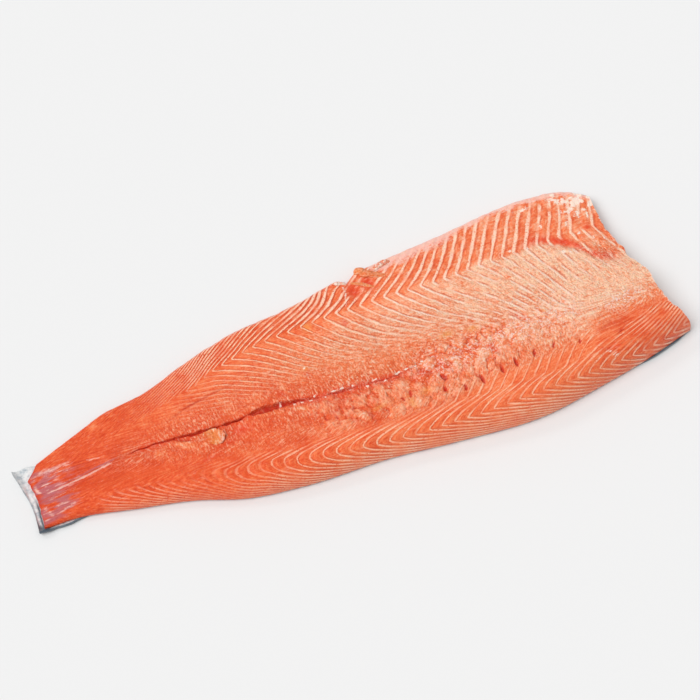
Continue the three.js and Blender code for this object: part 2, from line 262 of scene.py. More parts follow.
bellyLine = alongFish(fish["halfWidth"], [
    (0, 0.27), (0.083, 0.433), (0.158, 0.558), (0.208, 0.582), (0.283, 0.712), (0.367, 0.817),
    (0.467, 0.851), (0.533, 0.913), (0.617, 0.952), (0.717, 0.981), (0.892, 1.01), (0.937, 0.96),
    (0.975, 0.8), (1, 0.64)])
dorsalEdge = alongFish(fish["halfWidth"], [
    (0, -0.25), (0.058, -0.27), (0.133, -0.385), (0.217, -0.519), (0.283, -0.673), (0.367, -0.769),
    (0.5, -0.832), (0.6, -0.923), (0.733, -1.008), (0.833, -0.952), (0.933, -0.868), (1, -0.782)])
thickness = alongFish(fish["thickness"], [
    (0, 0.23), (0.067, 0.29), (0.167, 0.45), (0.3, 0.645), (0.433, 0.806), (0.6, 0.935),
    (0.767, 1), (0.9, 0.968), (1, 0.871)])

# rows where the muscle's white lines turn back, and the split along the middle
bellyRow = alongFish(fish["halfWidth"], [
    (0, 0.14), (0.083, 0.21), (0.167, 0.31), (0.233, 0.385), (0.283, 0.445), (0.317, 0.515),
    (0.35, 0.55), (0.39, 0.585), (0.45, 0.59), (0.52, 0.58), (0.63, 0.54), (0.67, 0.51),
    (0.75, 0.495), (0.83, 0.48), (1, 0.45)])
dorsalRow = alongFish(fish["halfWidth"], [
    (0, -0.12), (0.083, -0.16), (0.15, -0.225), (0.2, -0.32), (0.233, -0.385), (0.285, -0.505),
    (0.317, -0.54), (0.368, -0.625), (0.42, -0.68), (0.475, -0.735), (0.53, -0.785), (0.593, -0.83),
    (0.64, -0.86), (0.7, -0.88), (0.76, -0.89), (0.83, -0.885), (0.9, -0.86), (0.95, -0.82), (1, -0.75)])
middleSplit = alongFish(fish["halfWidth"], [
    (0, 0.01), (0.137, 0.06), (0.175, 0.067), (0.217, 0.038), (0.25, 0), (0.313, -0.043),
    (0.367, -0.058), (0.4, -0.1), (0.438, -0.154), (0.475, -0.188), (0.513, -0.216), (0.55, -0.25),
    (0.6, -0.225), (0.75, -0.23), (1, -0.29)])
flapDrop = alongFish(fish["halfWidth"], [
    (0.83, 0), (0.858, 0.01), (0.883, 0.1), (0.9, 0.18), (0.917, 0.35), (0.95, 0.43), (1, 0.45)])


def flapBorder(x):
    # the ribs' cut surface ends here, and the thin flap begins
    return bellyRow(x) - flapDrop(x)


def bellyEdge(x):
    # the belly line, with the notch where the edge is torn
    return bellyLine(x) - 7 * bump(x - 36, 5) + 0.5 * unevenness(x, 0 * x, 7, 61)


# how far along the fish a white line runs for each mm across it, in each arm of its W
outerSlope = alongFish(1, [
    (0, 4.5), (0.25, 3.6), (0.4, 2.35), (0.475, 2.4), (0.53, 1.75), (0.58, 1.4), (0.62, 1.35),
    (0.667, 1.12), (0.7, 0.96), (0.73, 0.84), (0.76, 0.74), (0.83, 0.68), (0.9, 0.6), (0.94, 0.45),
    (1, 0.4)])
innerSlope = alongFish(1, [
    (0, 3), (0.25, 2.2), (0.38, 1.25), (0.42, 1), (0.5, 0.66), (0.55, 0.6), (0.62, 0.66),
    (0.75, 0.68), (0.83, 0.32), (1, 0.18)])
innerTurn = alongFish(1, [(0, 1), (0.4, 1), (0.5, 1.5), (0.62, 1.3), (0.72, 0.5), (0.83, 0.2)])
backSlope = alongFish(1, [
    (0, 6), (0.13, 5), (0.19, 3), (0.25, 1), (0.3, 0.65), (0.37, 0.7), (0.425, 1.5), (0.475, 2.3),
    (0.52, 2.5), (0.56, 2.5), (0.6, 2.3), (0.65, 2.1), (0.72, 2), (0.83, 2.2), (0.875, 2.9),
    (0.93, 3.7), (1, 4)])
backTurn = alongFish(1, [
    (0, 20), (0.2, 20), (0.37, 20), (0.425, 18), (0.475, 10), (0.52, 6), (0.57, 6), (0.7, 6), (0.8, 5),
    (0.88, 0), (0.94, 0), (1, 0)])
backFlow = alongFish(1, [(0, 5), (0.12, 4), (0.2, 2), (0.28, 1), (0.36, 1), (0.6, 1), (1, 1)])
backBand = alongFish(1, [
    (0, 13), (0.3, 13), (0.42, 16), (0.58, 17), (0.7, 14), (0.82, 14), (0.9, 26), (1, 28)])
backBend = alongFish(1, [  # 1 where the arm flattens on its way
    (0, 0), (0.36, 0), (0.46, 1), (0.6, 1), (0.7, 0.9), (0.8, 0.8), (0.87, 0), (0.93, 0), (1, 0)])
backRound = alongFish(1, [(0, 3), (0.4, 3.4), (0.5, 1.8), (0.56, 0.6), (0.75, 0.5), (1, 0.5)])
edgeSlope = alongFish(1, [
    (0, 1.6), (0.35, 1.6), (0.45, 2), (0.6, 2.1), (0.67, 2), (0.75, 1.7), (1, 1.8)])
edgeRound = alongFish(1, [(0, 7), (0.35, 8), (0.42, 7), (0.5, 3), (0.56, 1.2), (1, 1)])
# how far each side of the split the two sides' lines blend
blendBack = alongFish(1, [(0, 5), (0.16, 6), (0.25, 24), (0.6, 24), (0.75, 18), (1, 16)])
blendBelly = alongFish(1, [(0, 3), (0.16, 4), (0.25, 14), (0.6, 14), (0.75, 6), (1, 4)])

muscle = {
    "flakePitch": 11.6,  # between two white lines of the loin
    "tailPitch": 8.6,
    "closeUp": -60,  # behind this the lines close up, over the reach
    "reach": 60,
    "turnRadius": 0.9,
    "bandEnd": 18,
    "innerReach": 42,
    "innerSoft": 8,
    "relief": 0.45,
    "crumb": 0.55,  # mm that the crumbs stand up
    "wobble": 0.8,  # mm that a line strays to either side
    "edgeGain": 0.04,  # how much flatter the lines run for each mm further down the back edge
    "heightShare": 0.525,  # what a mm of fall counts among the mm across
    "fallSlope": 0.24,
    "slitShare": 0.6,  # of a slit's depth that stays open
}


def turned(distance, radius):
    # hypot(distance, r) - r, a V with a round foot
    return np.hypot(distance, radius) - radius


def fullness(x, y):
    # a quarter circle sqrt(1 - (1 - t)^2) rises at the back edge, and another at the belly edge; also
    # the share of the width run from the back edge
    across = np.clip((y - dorsalEdge(x)) / (bellyEdge(x) - dorsalEdge(x)), 0, 1)
    atBack = np.sqrt(1 - (1 - np.clip(across / fish["backRounding"], 0, 1)) ** 2)
    atBelly = np.sqrt(1 - (1 - np.clip((1 - across) / fish["bellyRounding"], 0, 1)) ** 2)
    return atBack * atBelly, across


def edgeShift(x, y):
    # past the back row the run is the distance across plus a share of the fall; the line follows it
    # as slope * turned(run) * (1 + gain * run)
    row = dorsalRow(x)
    down = np.maximum(row - y, 0)
    drop = fullness(x, row)[0] - fullness(x, y)[0]
    fall = np.maximum(thickness(x) - fish["rimHeight"], 0) * np.where(down > 0, np.maximum(drop, 0), 0)
    run = down + muscle["heightShare"] * fall
    gain = 1 + muscle["edgeGain"] * run
    return edgeSlope(x) * turned(run, edgeRound(x)) * gain + muscle["fallSlope"] * fall


def lineShift(x, y, farBelow=1e3, farBack=1e3):
    # each arm of the W is slope times the distance from its turn, as far as the given distances,
    # and the two sides are blended across the middle
    foot = muscle["turnRadius"]
    row = bellyRow(x)
    below = np.clip(row - y, 0, farBelow)
    softly = muscle["innerSoft"] * np.logaddexp(0, (below - muscle["innerReach"]) / muscle["innerSoft"])
    inner = innerSlope(x) * turned(below, foot) + innerTurn(x) * softly
    back = np.clip(y - dorsalRow(x), 0, farBack)
    above = back - backBand(x)
    run = np.minimum(back, backBand(x))
    arm = turned(run, backRound(x))
    arm = mix(arm, 0.6 * arm + 0.4 * run ** 2 / backBand(x), backBend(x))
    inBand = backSlope(x) * arm + backTurn(x) * smooth(4, 2 + backBand(x), back)
    aboveBand = 1.1 * np.clip(above, 0, muscle["bandEnd"]) + 0.3 * np.maximum(above - muscle["bandEnd"], 0)
    side = smooth(middleSplit(x) - blendBack(x), middleSplit(x) + blendBelly(x), y)
    onFlap = outerSlope(x) * turned(np.maximum(y - row, 0), foot)
    torn = 0.7 * np.maximum(y - 72, 0) * bump(x - 16, 15)  # the lines bend back beside the tear
    onBack = inBand + backFlow(x) * aboveBand + edgeShift(x, y)
    return mix(onBack, onFlap + inner - torn, side)


def lineCount(x):
    # x / pitch, where the pitch closes exponentially behind closeUp; a whole number is a white line,
    # and line 0 lies 1 mm ahead of the middle
    behind = np.minimum(x - muscle["closeUp"], 0)
    ahead = (np.maximum(x, muscle["closeUp"]) - 1) / muscle["flakePitch"]
    wide = muscle["flakePitch"] - muscle["tailPitch"]
    share = (muscle["tailPitch"] + wide * np.exp(behind / muscle["reach"])) / muscle["flakePitch"]
    return ahead + (behind - muscle["reach"] * np.log(share)) / muscle["tailPitch"]


def lineAt(x, y):
    # the count at (x, y), with each line straying a little
    stray = muscle["wobble"] * (0.6 * unevenness(x, y, 14, 3) + 0.4 * unevenness(x, y, 6, 4))
    return lineCount(x - lineShift(x, y) + stray)


boneSlits = [  # x, y, width across, length, lean, depth: where pin bones were pulled
    (64, -57, 3.4, 6, 0.1, 3), (81, -63, 2.6, 7, 0.2, 3.5), (98, -61, 3.2, 11, 0, 4),
    (118, -60, 2.8, 9, 0.2, 3.5), (132, -59, 3, 11, 0.1, 4), (151, -57, 2.4, 9, 0.45, 3.5),
    (170, -57, 2.4, 6, 0.5, 3), (193, -63, 2, 5, 0.4, 2.5), (215, -62, 2.2, 6.5, 0.5, 3),
    (232, -68, 2, 4, 0.6, 2)]
smallHoles = [
    (-41, -38, 1.6, 6, 0.1, 1.6), (-32, -42, 2.2, 3.5, 0, 1.6), (-16, -40, 2, 6, 0.9, 1.6),
    (27, -50, 1.8, 5, -0.5, 1.8), (35, -48, 2.6, 9, 0.3, 1.6), (68, -46, 5, 9, -0.5, 1.6)]
hollows = [  # x, y, half width, half height, depth
    (-116, -13, 10, 7, 2.2), (38, 77, 7, 6, 3.2), (53, 76, 4.5, 6, 2.4), (215, -80, 6, 2.6, 1.6)]

split = {
    "from": -209,
    "to": 58,
    "depth": 3.8,
    "sideArm": [(-168, 3), (-158, -3), (-148, -8)],
    "crease": [(-166, 21), (-155, 25), (-145, 28), (-135, 29), (-120, 31), (-98, 32)],
}


def splitOpen(x):
    share = np.clip((x - split["from"]) / (split["to"] - split["from"]), 0, 1)
    return np.sin(np.pi * share) ** 0.6  # 0 at both ends


def splitClosed(x):
    # 1 where the two lips touch
    joins = [(-101, 3.5, 0.9), (-125, 3, 0.8), (-34, 5, 0.9), (2, 8, 0.95), (21, 3, 0.6), (42, 6, 0.8)]
    return sum(share * bump(x - place, reach) for place, reach, share in joins)


def splitWidth(x):
    # half the opening: widest near x -78, narrower near x -150, a broken hairline towards the head
    ragged = 1 + 0.45 * unevenness(x, 0 * x, 4, 11) + 0.4 * unevenness(x, 0 * x, 1.9, 13)
    wide = 0.85 + 2.0 * bump(x + 78, 15) + 0.6 * bump(x + 150, 14)
    return wide * splitOpen(x) * ragged * (1 - splitClosed(x))


def splitDeep(x, y):
    # 1 on the split's floor; its belly wall is steep and its dorsal wall slopes
    side = y - middleSplit(x) - 0.6 * unevenness(x, 0 * x, 6, 12)
    half = splitWidth(x)
    inside = smooth(-1.4 * half - 0.6, -0.3 * half, side) * smooth(0.9 * half + 0.4, 0.4 * half, side)
    shallow = mix(1, 0.55, smooth(-62, -45, x)) * (1 - 0.8 * splitClosed(x))
    return inside * smooth(0, 0.12, splitOpen(x)) * shallow


def pitAt(x, y, pit):
    # 1 at a slit's middle, falling as the square root of 1 - r^2 of its ellipse
    px, py, wide, tall, lean, _ = pit
    dx, dy = x - px, y - py
    across = (math.cos(lean) * dx - math.sin(lean) * dy) / (wide / 2)
    along = (math.sin(lean) * dx + math.cos(lean) * dy) / (tall / 2)
    return np.sqrt(np.clip(1 - across ** 2 - along ** 2, 0, 1))


def pitsAt(x, y, byDepth=False):
    # the strongest of all slits and holes, counted from 0 to 1 or by their depths in mm
    pits = boneSlits + smallHoles
    return np.maximum.reduce([pitAt(x, y, pit) * (pit[-1] if byDepth else 1) for pit in pits])


def flakeShow(x, y):
    # how far the flakes between the white lines stand up
    flap = smooth(-10, 14, y - bellyRow(x)) * mix(1, 1.7, smooth(80, 180, x))
    inner = smooth(-75, -40, y - bellyRow(x)) * smooth(-130, -60, x)
    back = 0.7 * (1 - smooth(8, 20, y - dorsalRow(x)))
    return np.maximum(np.maximum(flap, inner), back) * smooth(-230, -120, x)


def lumpAt(x, y):
    # the loin below the split is torn into lumps
    above = y - dorsalRow(x) - 12 * smooth(50, 110, x)
    below = 1 - smooth(-6, 5, y - middleSplit(x) - 10 * smooth(50, 90, x))
    along = smooth(-70, -25, x) * (1 - 0.6 * smooth(110, 160, x)) * smooth(250, 215, x)
    return smooth(12, 24, above) * below * along


def grainAt(x, y):
    # how crumbly the cut surface is: most in the middle and over the ribs, least on the back
    over = y - dorsalRow(x) - 12 * smooth(50, 110, x)
    middle = smooth(8, 26, over) * smooth(-2, 34, bellyRow(x) - y)
    loin = mix(0.5, 1, smooth(-110, 20, x)) * middle * smooth(-260, -200, x)
    ribs = 0.9 * smooth(60, 140, x) * smooth(10, 28, over) * smooth(-4, 4, flapBorder(x) - y)
    flap = 0.3 * smooth(0, 8, y - bellyRow(x)) * smooth(-100, 0, x)
    plain = np.maximum(0.8 * spot(x, y, (250, -60), (34, 11)), 0.5 * spot(x, y, (-98, -16), (18, 13)))
    return np.maximum(np.maximum(loin, ribs), flap) * (1 - plain)


def lumps(x, y):
    # cells of 11 and 4.5 mm on a strayed ground: nearness to the middle, openness of the gap and own
    # number of each
    u = x + 2.2 * unevenness(x, y, 5, 26) + 0.8 * unevenness(x, y, 1.9, 28)
    v = y + 2.2 * unevenness(x, y, 5, 27) + 0.8 * unevenness(x, y, 1.9, 29)
    both = []
    for size, seed in ((11, 21), (4.5, 22)):
        near, gap, own = cells(u, v, size, seed)
        both.append((1 - np.clip(near, 0, 1) ** 2, 1 - smooth(0.0, 0.2, gap), own))
    return both


def reliefAt(x, y, count):
    # flakes bulge between the lines as -cos(2 pi count); swells of two sizes, the split's lip,
    # the flap's border, hollows, creases, lumps and crumbs are added
    swell = 0.5 * np.sin(x / 17 + y / 31) * np.sin(y / 19 - x / 43) + 0.3 * np.sin(x / 7.3) * np.sin(y / 8.1)
    total = swell - muscle["relief"] * np.cos(2 * np.pi * count) * flakeShow(x, y)
    total -= 1.6 * bump(y - flapBorder(x), 4.5) * smooth(200, 225, x)
    side = y - middleSplit(x)
    lip = 0.8 * bump(side - 5, 5) - 1.2 * bump(side + 3, 5)
    total += lip * smooth(-212, -185, x) * smooth(50, 10, x)
    for px, py, wide, tall, depth in hollows:
        total -= depth * spot(x, y, (px, py), (wide, tall))
    total -= furrow(x, y, split["crease"], 1.2) + 1.6 * furrow(x, y, split["sideArm"], 1.2)
    (dome, gap, own), (crumb, cleft, ownCrumb) = lumps(x, y)
    torn = 2.3 * dome * mix(0.3, 1, own) - 0.7 * gap + 0.5 * crumb * mix(0.2, 1, ownCrumb) - 0.3 * cleft
    total += lumpAt(x, y) * (torn - 1.0)
    crumbs = 0.5 * unevenness(x, y, 4.1, 25) + 0.5 * unevenness(x, y, 2.2, 23)
    return total + muscle["crumb"] * grainAt(x, y) * crumbs


def bodyHeight(x, y, relief=0.0):
    # the rim's height plus the loin's thickness, thinned to the belly and rounded at both edges
    rounding, across = fullness(x, y)
    full = thickness(x) - fish["rimHeight"] + relief
    return fish["rimHeight"] + full * (1 - fish["bellyThinning"] * smooth(0.3, 1, across)) * rounding


def topHeight(x, y):
    # the body with its relief, less the split and the slits
    body = bodyHeight(x, y, reliefAt(x, y, lineAt(x, y)))
    slits = muscle["slitShare"] * pitsAt(x, y, byDepth=True)
    cuts = np.maximum(split["depth"] * splitDeep(x, y) * splitOpen(x), slits)
    return np.maximum(body - cuts, fish["fleshBase"] + 0.5)


def tailEnd(y):
    # 2.2 * (y / 25)^2 hollow, and a little ragged
    return 7 - fish["length"] / 2 - 2.2 * (y / 25) ** 2 + 0.5 * unevenness(y, 0 * y, 4, 31)


def tailCut(y):
    # the flesh's end also slants at its belly corner
    return tailEnd(y) + 1.1 * np.maximum(y - 21, 0)


headLine = through([
    (-100, 306), (-86, 302.5), (-80, 298.5), (-74, 293.5), (-66, 290), (-60, 288.5), (-40, 285.5),
    (-20, 286), (0, 280), (20, 278), (50, 278), (75, 283), (110, 290)])


def headCut(y):
    # a slanting cut, ragged by steps of about 8 and 3 mm
    return headLine(y) + 1.1 * unevenness(y, 0 * y, 8, 32) + 0.6 * unevenness(y, 0 * y, 3, 33)


# where the flesh is paler or redder: 0 is the tail's red, 1 the palest flesh over the ribs
middleTone = through([
    (-300, 0.06), (-240, 0.07), (-185, 0.17), (-125, 0.24), (-60, 0.25), (20, 0.39), (60, 0.4),
    (150, 0.64), (200, 0.86), (300, 0.88)])
bellyGain = through([
    (-300, 0.14), (-200, 0.2), (-110, 0.1), (-40, 0.2), (80, 0.3), (150, 0.26), (200, 0.08),
    (300, 0.08)])
flapTone = through([
    (-300, 0.2), (-200, 0.2), (-110, 0.2), (0, 0.34), (100, 0.47), (190, 0.52), (300, 0.53)])
dorsalTone = through([
    (-300, 0.12), (-200, 0.2), (-120, 0.26), (0, 0.36), (150, 0.42), (230, 0.32), (300, 0.28)])

palePatches = [  # place, half size, lean, how much paler
    ((-56, -20), (5, 3), -0.6, 0.5), ((-161, -6), (13, 4.5), -0.7, 0.45), ((-143, -13), (2.5, 5), -0.3, 0.3),
    ((-62, 6), (2.5, 5), 0.2, 0.3), ((-84, -11), (9, 3), -0.3, 0.25), ((-183, -6), (10, 5), -0.3, 0.2),
    ((-226, 47), (3, 4), -0.2, 0.4), ((-208, 12), (2.5, 5), -0.2, 0.3), ((-232, 16), (9, 3), -0.4, 0.22)]
whitePatches = [  # place, half size, lean: fat, membrane and torn fibre
    ((-10, -49), (1.6, 0.9), 0), ((212, -82), (1.8, 3.2), 1.1), ((217, -86), (3.2, 1.2), -0.5),
    ((226, 31), (5, 2), -0.6), ((233, 27), (3.5, 1.4), -1), ((252, 44), (4, 1.8), 0.3),
    ((250, 39), (2, 3), 0.3), ((261, 34), (1.2, 6), 0), ((270, 30), (1.2, 5), 0.1),
    ((173, 53), (4, 1.6), 0.1), ((185, 53), (3, 2), -0.6), ((200, 49), (1.5, 4), 0),
    ((-37, 18), (2.2, 1.0), 0.6), ((-31, 13), (2, 0.8), 0.8), ((216, 74), (5, 1.6), -0.7),
    ((207, 79), (4, 1.2), -0.5), ((224, 68), (2, 3.4), -0.4), ((219, 92), (6, 2), 0.2),
    ((250, 90), (9, 2.2), -0.5), ((262, 66), (2, 6), -0.4), ((256, 74), (6, 2), 0.2),
    ((270, 62), (1.5, 7), -0.3), ((247, 60), (1.6, 6), -0.5),
    ((103, -33), (4, 1.1), -0.8), ((185, -28), (3, 3), 0)]
yellowSpots = [
    ((-37, 17), (2.5, 2.5)), ((90, -7), (6, 3)), ((113, -11), (5, 3)), ((-17, 59), (3.5, 5)),
    ((48, -51), (6, 3)), ((5, -48), (7, 2.5)), ((180, -20), (3, 3)), ((33, -57), (3, 6))]
# the spots at (-112, -14) and (-125, -22), beside the loose flake's tip, are its painted shadow
redSpotsAndFlakeShadow = [
    ((215, -80), (6, 1.8), -0.1), ((-66, 2), (3, 3.5)), ((68, -46), (3, 4.5), 0.4),
    ((157, -18), (9, 2), -1.0), ((55, -34), (8, 3), -0.6), ((-112, -14), (11, 6), -0.2),
    ((-125, -22), (10, 2), 0.1), ((-145, -29), (10, 1.2)), ((75, -38), (3, 9), 0.5),
    ((20, -26), (12, 2)), ((-37, 10), (3, 4)), ((120, -38), (3, 8), 0.4),
    ((15, 47), (3, 4)), ((262, 48), (4, 3)), ((270, 46), (3, 2.5))]
# the first, at x -71, is a pale thread across the split rather than a highlight
glints = [  # painted wet highlights on the split's lips: place, how far off the split, half size, lean
    (-71, 0, (1.0, 3.6), -0.3), (-60, -2.4, (1.9, 0.9), 0), (-53, -1.9, (2.5, 1.1), -0.1),
    (-46, -2.2, (2.7, 1.0), -0.1), (-41, 1.8, (1.7, 0.9), 0.2), (-33, -2, (1.3, 1.0), 0.3),
    (-24, 1.5, (2.9, 0.9), -0.1), (-17, 1.7, (2.5, 0.9), 0), (-11, -1.6, (1.9, 1.0), -0.1),
    (-7, 1.5, (1.5, 0.9), -0.3), (0, -1.9, (2.5, 0.9), 0), (5, -3, (1.7, 1.8), 0.4),
    (13, 1.4, (3.3, 0.9), 0), (21, -1.6, (1.5, 1.0), 0.6), (27, -4, (1.9, 2.0), 0.7),
    (34, 1.6, (3.3, 1.0), 0.2), (42, 1.2, (2.9, 1.0), 0.2), (50, -0.6, (3.3, 1.4), 0.1),
    (58, 0.5, (2.7, 1.1), 0.2), (67, 0, (2.3, 1.3), 0.5)]
tailStreaks = [  # paths of milky septum, with half width and strength
    ([(-286, 2), (-276, 2.2), (-262, 3), (-250, 3.5), (-236, 4.4), (-219, 5.6)], 0.96, 0.97),
    ([(-256, 4), (-251, 3)], 1.92, 1.12), ([(-287, 24), (-274, 23), (-262, 23), (-254, 22)], 2.04, 0.67),
    ([(-277, 20), (-266, 18.5), (-255, 17)], 0.84, 0.52), ([(-291, 14), (-290, 7), (-287, 3)], 1.56, 0.82),
    ([(-290, -9), (-287, -15), (-284, -21)], 2.16, 0.62), ([(-284, 9), (-276, 12), (-268, 12)], 1.2, 0.57),
    ([(-243, 18), (-236, 17), (-230, 14)], 0.96, 0.62), ([(-284, -20), (-274, -18), (-262, -16)], 0.84, 0.72),
    ([(-282, -4), (-272, -3), (-262, -2.5)], 0.96, 0.52)]
septum = [(-285, 4.6), (-262, 5.4), (-236, 7), (-218, 8)]
tear = {  # the torn belly edge: orange hollows and a white fibre
    "hollows": [((38, 77), (6.5, 8)), ((52, 79), (6, 8))],
    "fibre": [(23, 63), (26, 66), (27, 72), (30, 78), (30, 84)],
}


def strongest(x, y, spots):
    # the strongest of a list of spots
    return np.maximum.reduce([spot(x, y, *each) for each in spots])


def frayed(uneven, level, gain):
    # level + gain * uneven, kept from 0 to 1
    return np.clip(level + gain * uneven, 0, 1)


def tatter(x, y):
    # what frays the edges of most zones
    return unevenness(x, y, 2.6, 51)


def paleAt(x, y):
    # the tones of the middle, the flap and the back blended at their borders, with a plain orange spot
    # near the head's back corner, blotches and pale patches
    above = y - dorsalRow(x)
    onFlap = y - flapBorder(x)
    ahead = smooth(50, 120, x)
    torn = onFlap + 6 * unevenness(x, y, 11, 55) * smooth(60, 120, x)
    pale = middleTone(x) + bellyGain(x) * smooth(0, 40, y - middleSplit(x))
    pale = mix(pale, flapTone(x), smooth(-4, 7, torn))
    pale = pale - 0.12 * bump(onFlap + 4, 10) * smooth(-60, -20, x) * smooth(110, 50, x)
    pale = mix(dorsalTone(x), pale, smooth(4 + 8 * ahead, 26 + 34 * ahead, above))
    pale = mix(pale, 0.27, spot(x, y, (246, -64), (40, 15)))
    pale = pale + 0.16 * ahead * unevenness(x, y, 6, 53) * smooth(30, 50, above)
    ragged = 1 + 0.5 * tatter(x, y)
    for place, size, lean, share in palePatches:
        pale = pale + share * spot(x, y, place, size, lean) * ragged
    blotch = 0.6 * unevenness(x, y, 22, 41) + 0.4 * unevenness(x, y, 9, 42)
    return np.clip(pale + 0.08 * blotch, 0, 1)


def deepAt(x, y):
    # dark red in the split and its side arm, in the slits and at the tail cut, and painted shade in the
    # crease
    return np.maximum.reduce([
        splitDeep(x, y) * frayed(tatter(x, y), 0.88, 0.4), np.clip(0.9 * pitsAt(x, y), 0, 0.6),
        0.8 * furrow(x, y, split["sideArm"], 1.1),
        0.65 * furrow(x, y, split["crease"], 1.0) * (1 + 0.5 * tatter(x, y)),
        0.5 * bump(x - tailCut(y), 0.9)])


def richAt(x, y):
    # redder flesh round the split and the slits, in the tear, beside the flap's border and in red spots, two
    # of which, beside the loose flake's tip, are its painted shadow
    ahead = smooth(-70, -50, x)
    beside = mix(0.6, 0.95, ahead) * bump(y - middleSplit(x) + 0.8, 3.2 + ahead)
    rich = np.maximum.reduce([
        beside * smooth(-212, -190, x) * smooth(60, 30, x),
        0.85 * bump(y - flapBorder(x) - 5, 6) * smooth(175, 222, x) * smooth(276, 262, x),
        0.95 * strongest(x, y, tear["hollows"]), 0.75 * strongest(x, y, redSpotsAndFlakeShadow),
        np.clip(1.6 * pitsAt(x, y), 0, 1)])
    return np.clip(rich * (1 + 0.25 * tatter(x, y)), 0, 1)


def filmReach(x, y):
    # 1 at the tail cut, ending in ragged tongues
    tongues = 7 * unevenness(y, 0 * y, 4, 44) + 4 * np.maximum(0, np.abs(y - 2) - 20)
    return smooth(-246, -284, x + tongues)


def filmAt(x, y):
    # purple grey membrane at the tail, streaked along the fish, beside the septum and in a patch
    streak = unevenness(x / 5, y, 2.2, 43)
    blot = 0.5 * streak + 0.5 * unevenness(x / 1.6, y, 4.5, 57) + 0.3 * unevenness(x / 4, y, 1.3, 54)
    return np.maximum.reduce([
        filmReach(x, y) * frayed(blot, 0.6, 1),
        0.75 * bump(farFrom(x, y, septum)[0], 1.3) * frayed(streak, 0.7, 0.5),
        0.5 * spot(x, y, (-258, 14), (20, 8)) * frayed(streak, 0.5, 1)])


def bandWidth(x):
    # mm of the pale band along the belly edge
    return 19 - 7 * smooth(120, 160, x) + 3 * smooth(205, 240, x)


def hazeAt(x, y, film):
    # milky in parts of the membrane, along the belly's rim and its pale band, and on the tail's streaks
    edge = bellyEdge(x) - y
    wide = bandWidth(x)
    band = 1 - smooth(0.3 * wide, wide, edge + 2.2 * unevenness(x, y, 6, 45) + tatter(x, y))
    parts = [0.7 * film * smooth(0.1, 0.6, unevenness(x / 4, y, 1.7, 56)),
             0.8 * bump(edge, 4) * smooth(-180, -60, x) * smooth(40, 20, x),
             (1.05 - 0.12 * smooth(120, 160, x)) * band * smooth(56, 66, x)]
    broken = frayed(unevenness(x / 2, y, 2, 46), 0.85, 0.6)
    bent = y + 0.7 * unevenness(x, y, 6, 52)
    for path, half, strength in tailStreaks:
        away, run = farFrom(x, bent, path)
        parts.append(strength * bump(away, half) * smooth(0, 0.12, run) * smooth(1, 0.88, run) * broken)
    return np.clip(np.maximum.reduce(parts), 0, 1)


def fatAt(x, y):
    # white patches, torn fibre, painted wet highlights on the split's lips, the flap's head corner and the
    # head cut's rim
    uneven = tatter(x, y)
    paintedGlints = [((px, middleSplit(px) + off), size, lean) for px, off, size, lean in glints]
    corner = smooth(238, 258, x) * smooth(52, 80, y)
    rim = bump(headCut(y) - x, 2.2) * smooth(-92, -60, y)
    return np.clip(np.maximum.reduce([
        strongest(x, y, whitePatches) * frayed(uneven, 0.75, 0.75),
        strongest(x, y, paintedGlints) * frayed(uneven, 0.85, 0.5),
        0.45 * spot(x, y, (249, -38), (18, 6)) * frayed(uneven, 0.6, 1),
        0.65 * bump(farFrom(x, y, tear["fibre"])[0], 1.2) * frayed(uneven, 0.9, 0.5),
        0.95 * corner * frayed(unevenness(x, y, 3.5, 47), 0.55, 1.1),
        0.55 * rim * frayed(uneven, 0.7, 1)]), 0, 1)


def lineDensity(x, y):
    # lines per mm across them on the surface, by differences over two steps
    step = 0.4
    gx = (lineAt(x + step, y) - lineAt(x - step, y)) / (2 * step)
    gy = (lineAt(x, y + step) - lineAt(x, y - step)) / (2 * step)
    steep = (bodyHeight(x, y + step) - bodyHeight(x, y - step)) / (2 * step)
    return np.hypot(gx, gy / np.hypot(1, steep))


def crumbZones(x, y):
    # crumbs, and the lumps: their gaps are painted darker as shade and their crests paler as a painted
    # highlight; each lump has its own tone, paler to its middle and darker in its gap
    torn = lumpAt(x, y)
    (dome, gap, own), (crumb, cleft, ownCrumb) = lumps(x, y)
    crestHighlight = 0.5 * smooth(0.6, 0.95, dome) * own + 0.8 * smooth(0.6, 0.9, crumb) * smooth(0.5, 0.8, ownCrumb)
    gap = np.maximum(gap * smooth(0.75, 0.35, own), 0.5 * cleft * smooth(0.7, 0.2, ownCrumb))
    side = y - middleSplit(x)
    # pink white crumbs lie between the lumps and the pale ribs, and in a patch at the head
    pink = smooth(30, 70, x) * bump(side + 8 - 4 * smooth(100, 200, x), 14) * smooth(225, 200, x)
    return {
        "pale": paleAt(x, y) + torn * (0.3 * (own - 0.5) + 0.16 * (dome - 0.6) - 0.2 * gap),
        "grain": grainAt(x, y) * (1 - 0.45 * torn),
        # 1 where the fibres cross the fish: between the two creases and below the split
        "crossing": smooth(-200, -170, x) * smooth(80, 30, x) * bump(side + 2, 26),
        "torn": torn,
        "gap": torn * gap,
        "crestHighlight": torn * crestHighlight,
        "pink": np.maximum(pink, 1.4 * spot(x, y, (249, -39), (20, 8)))}


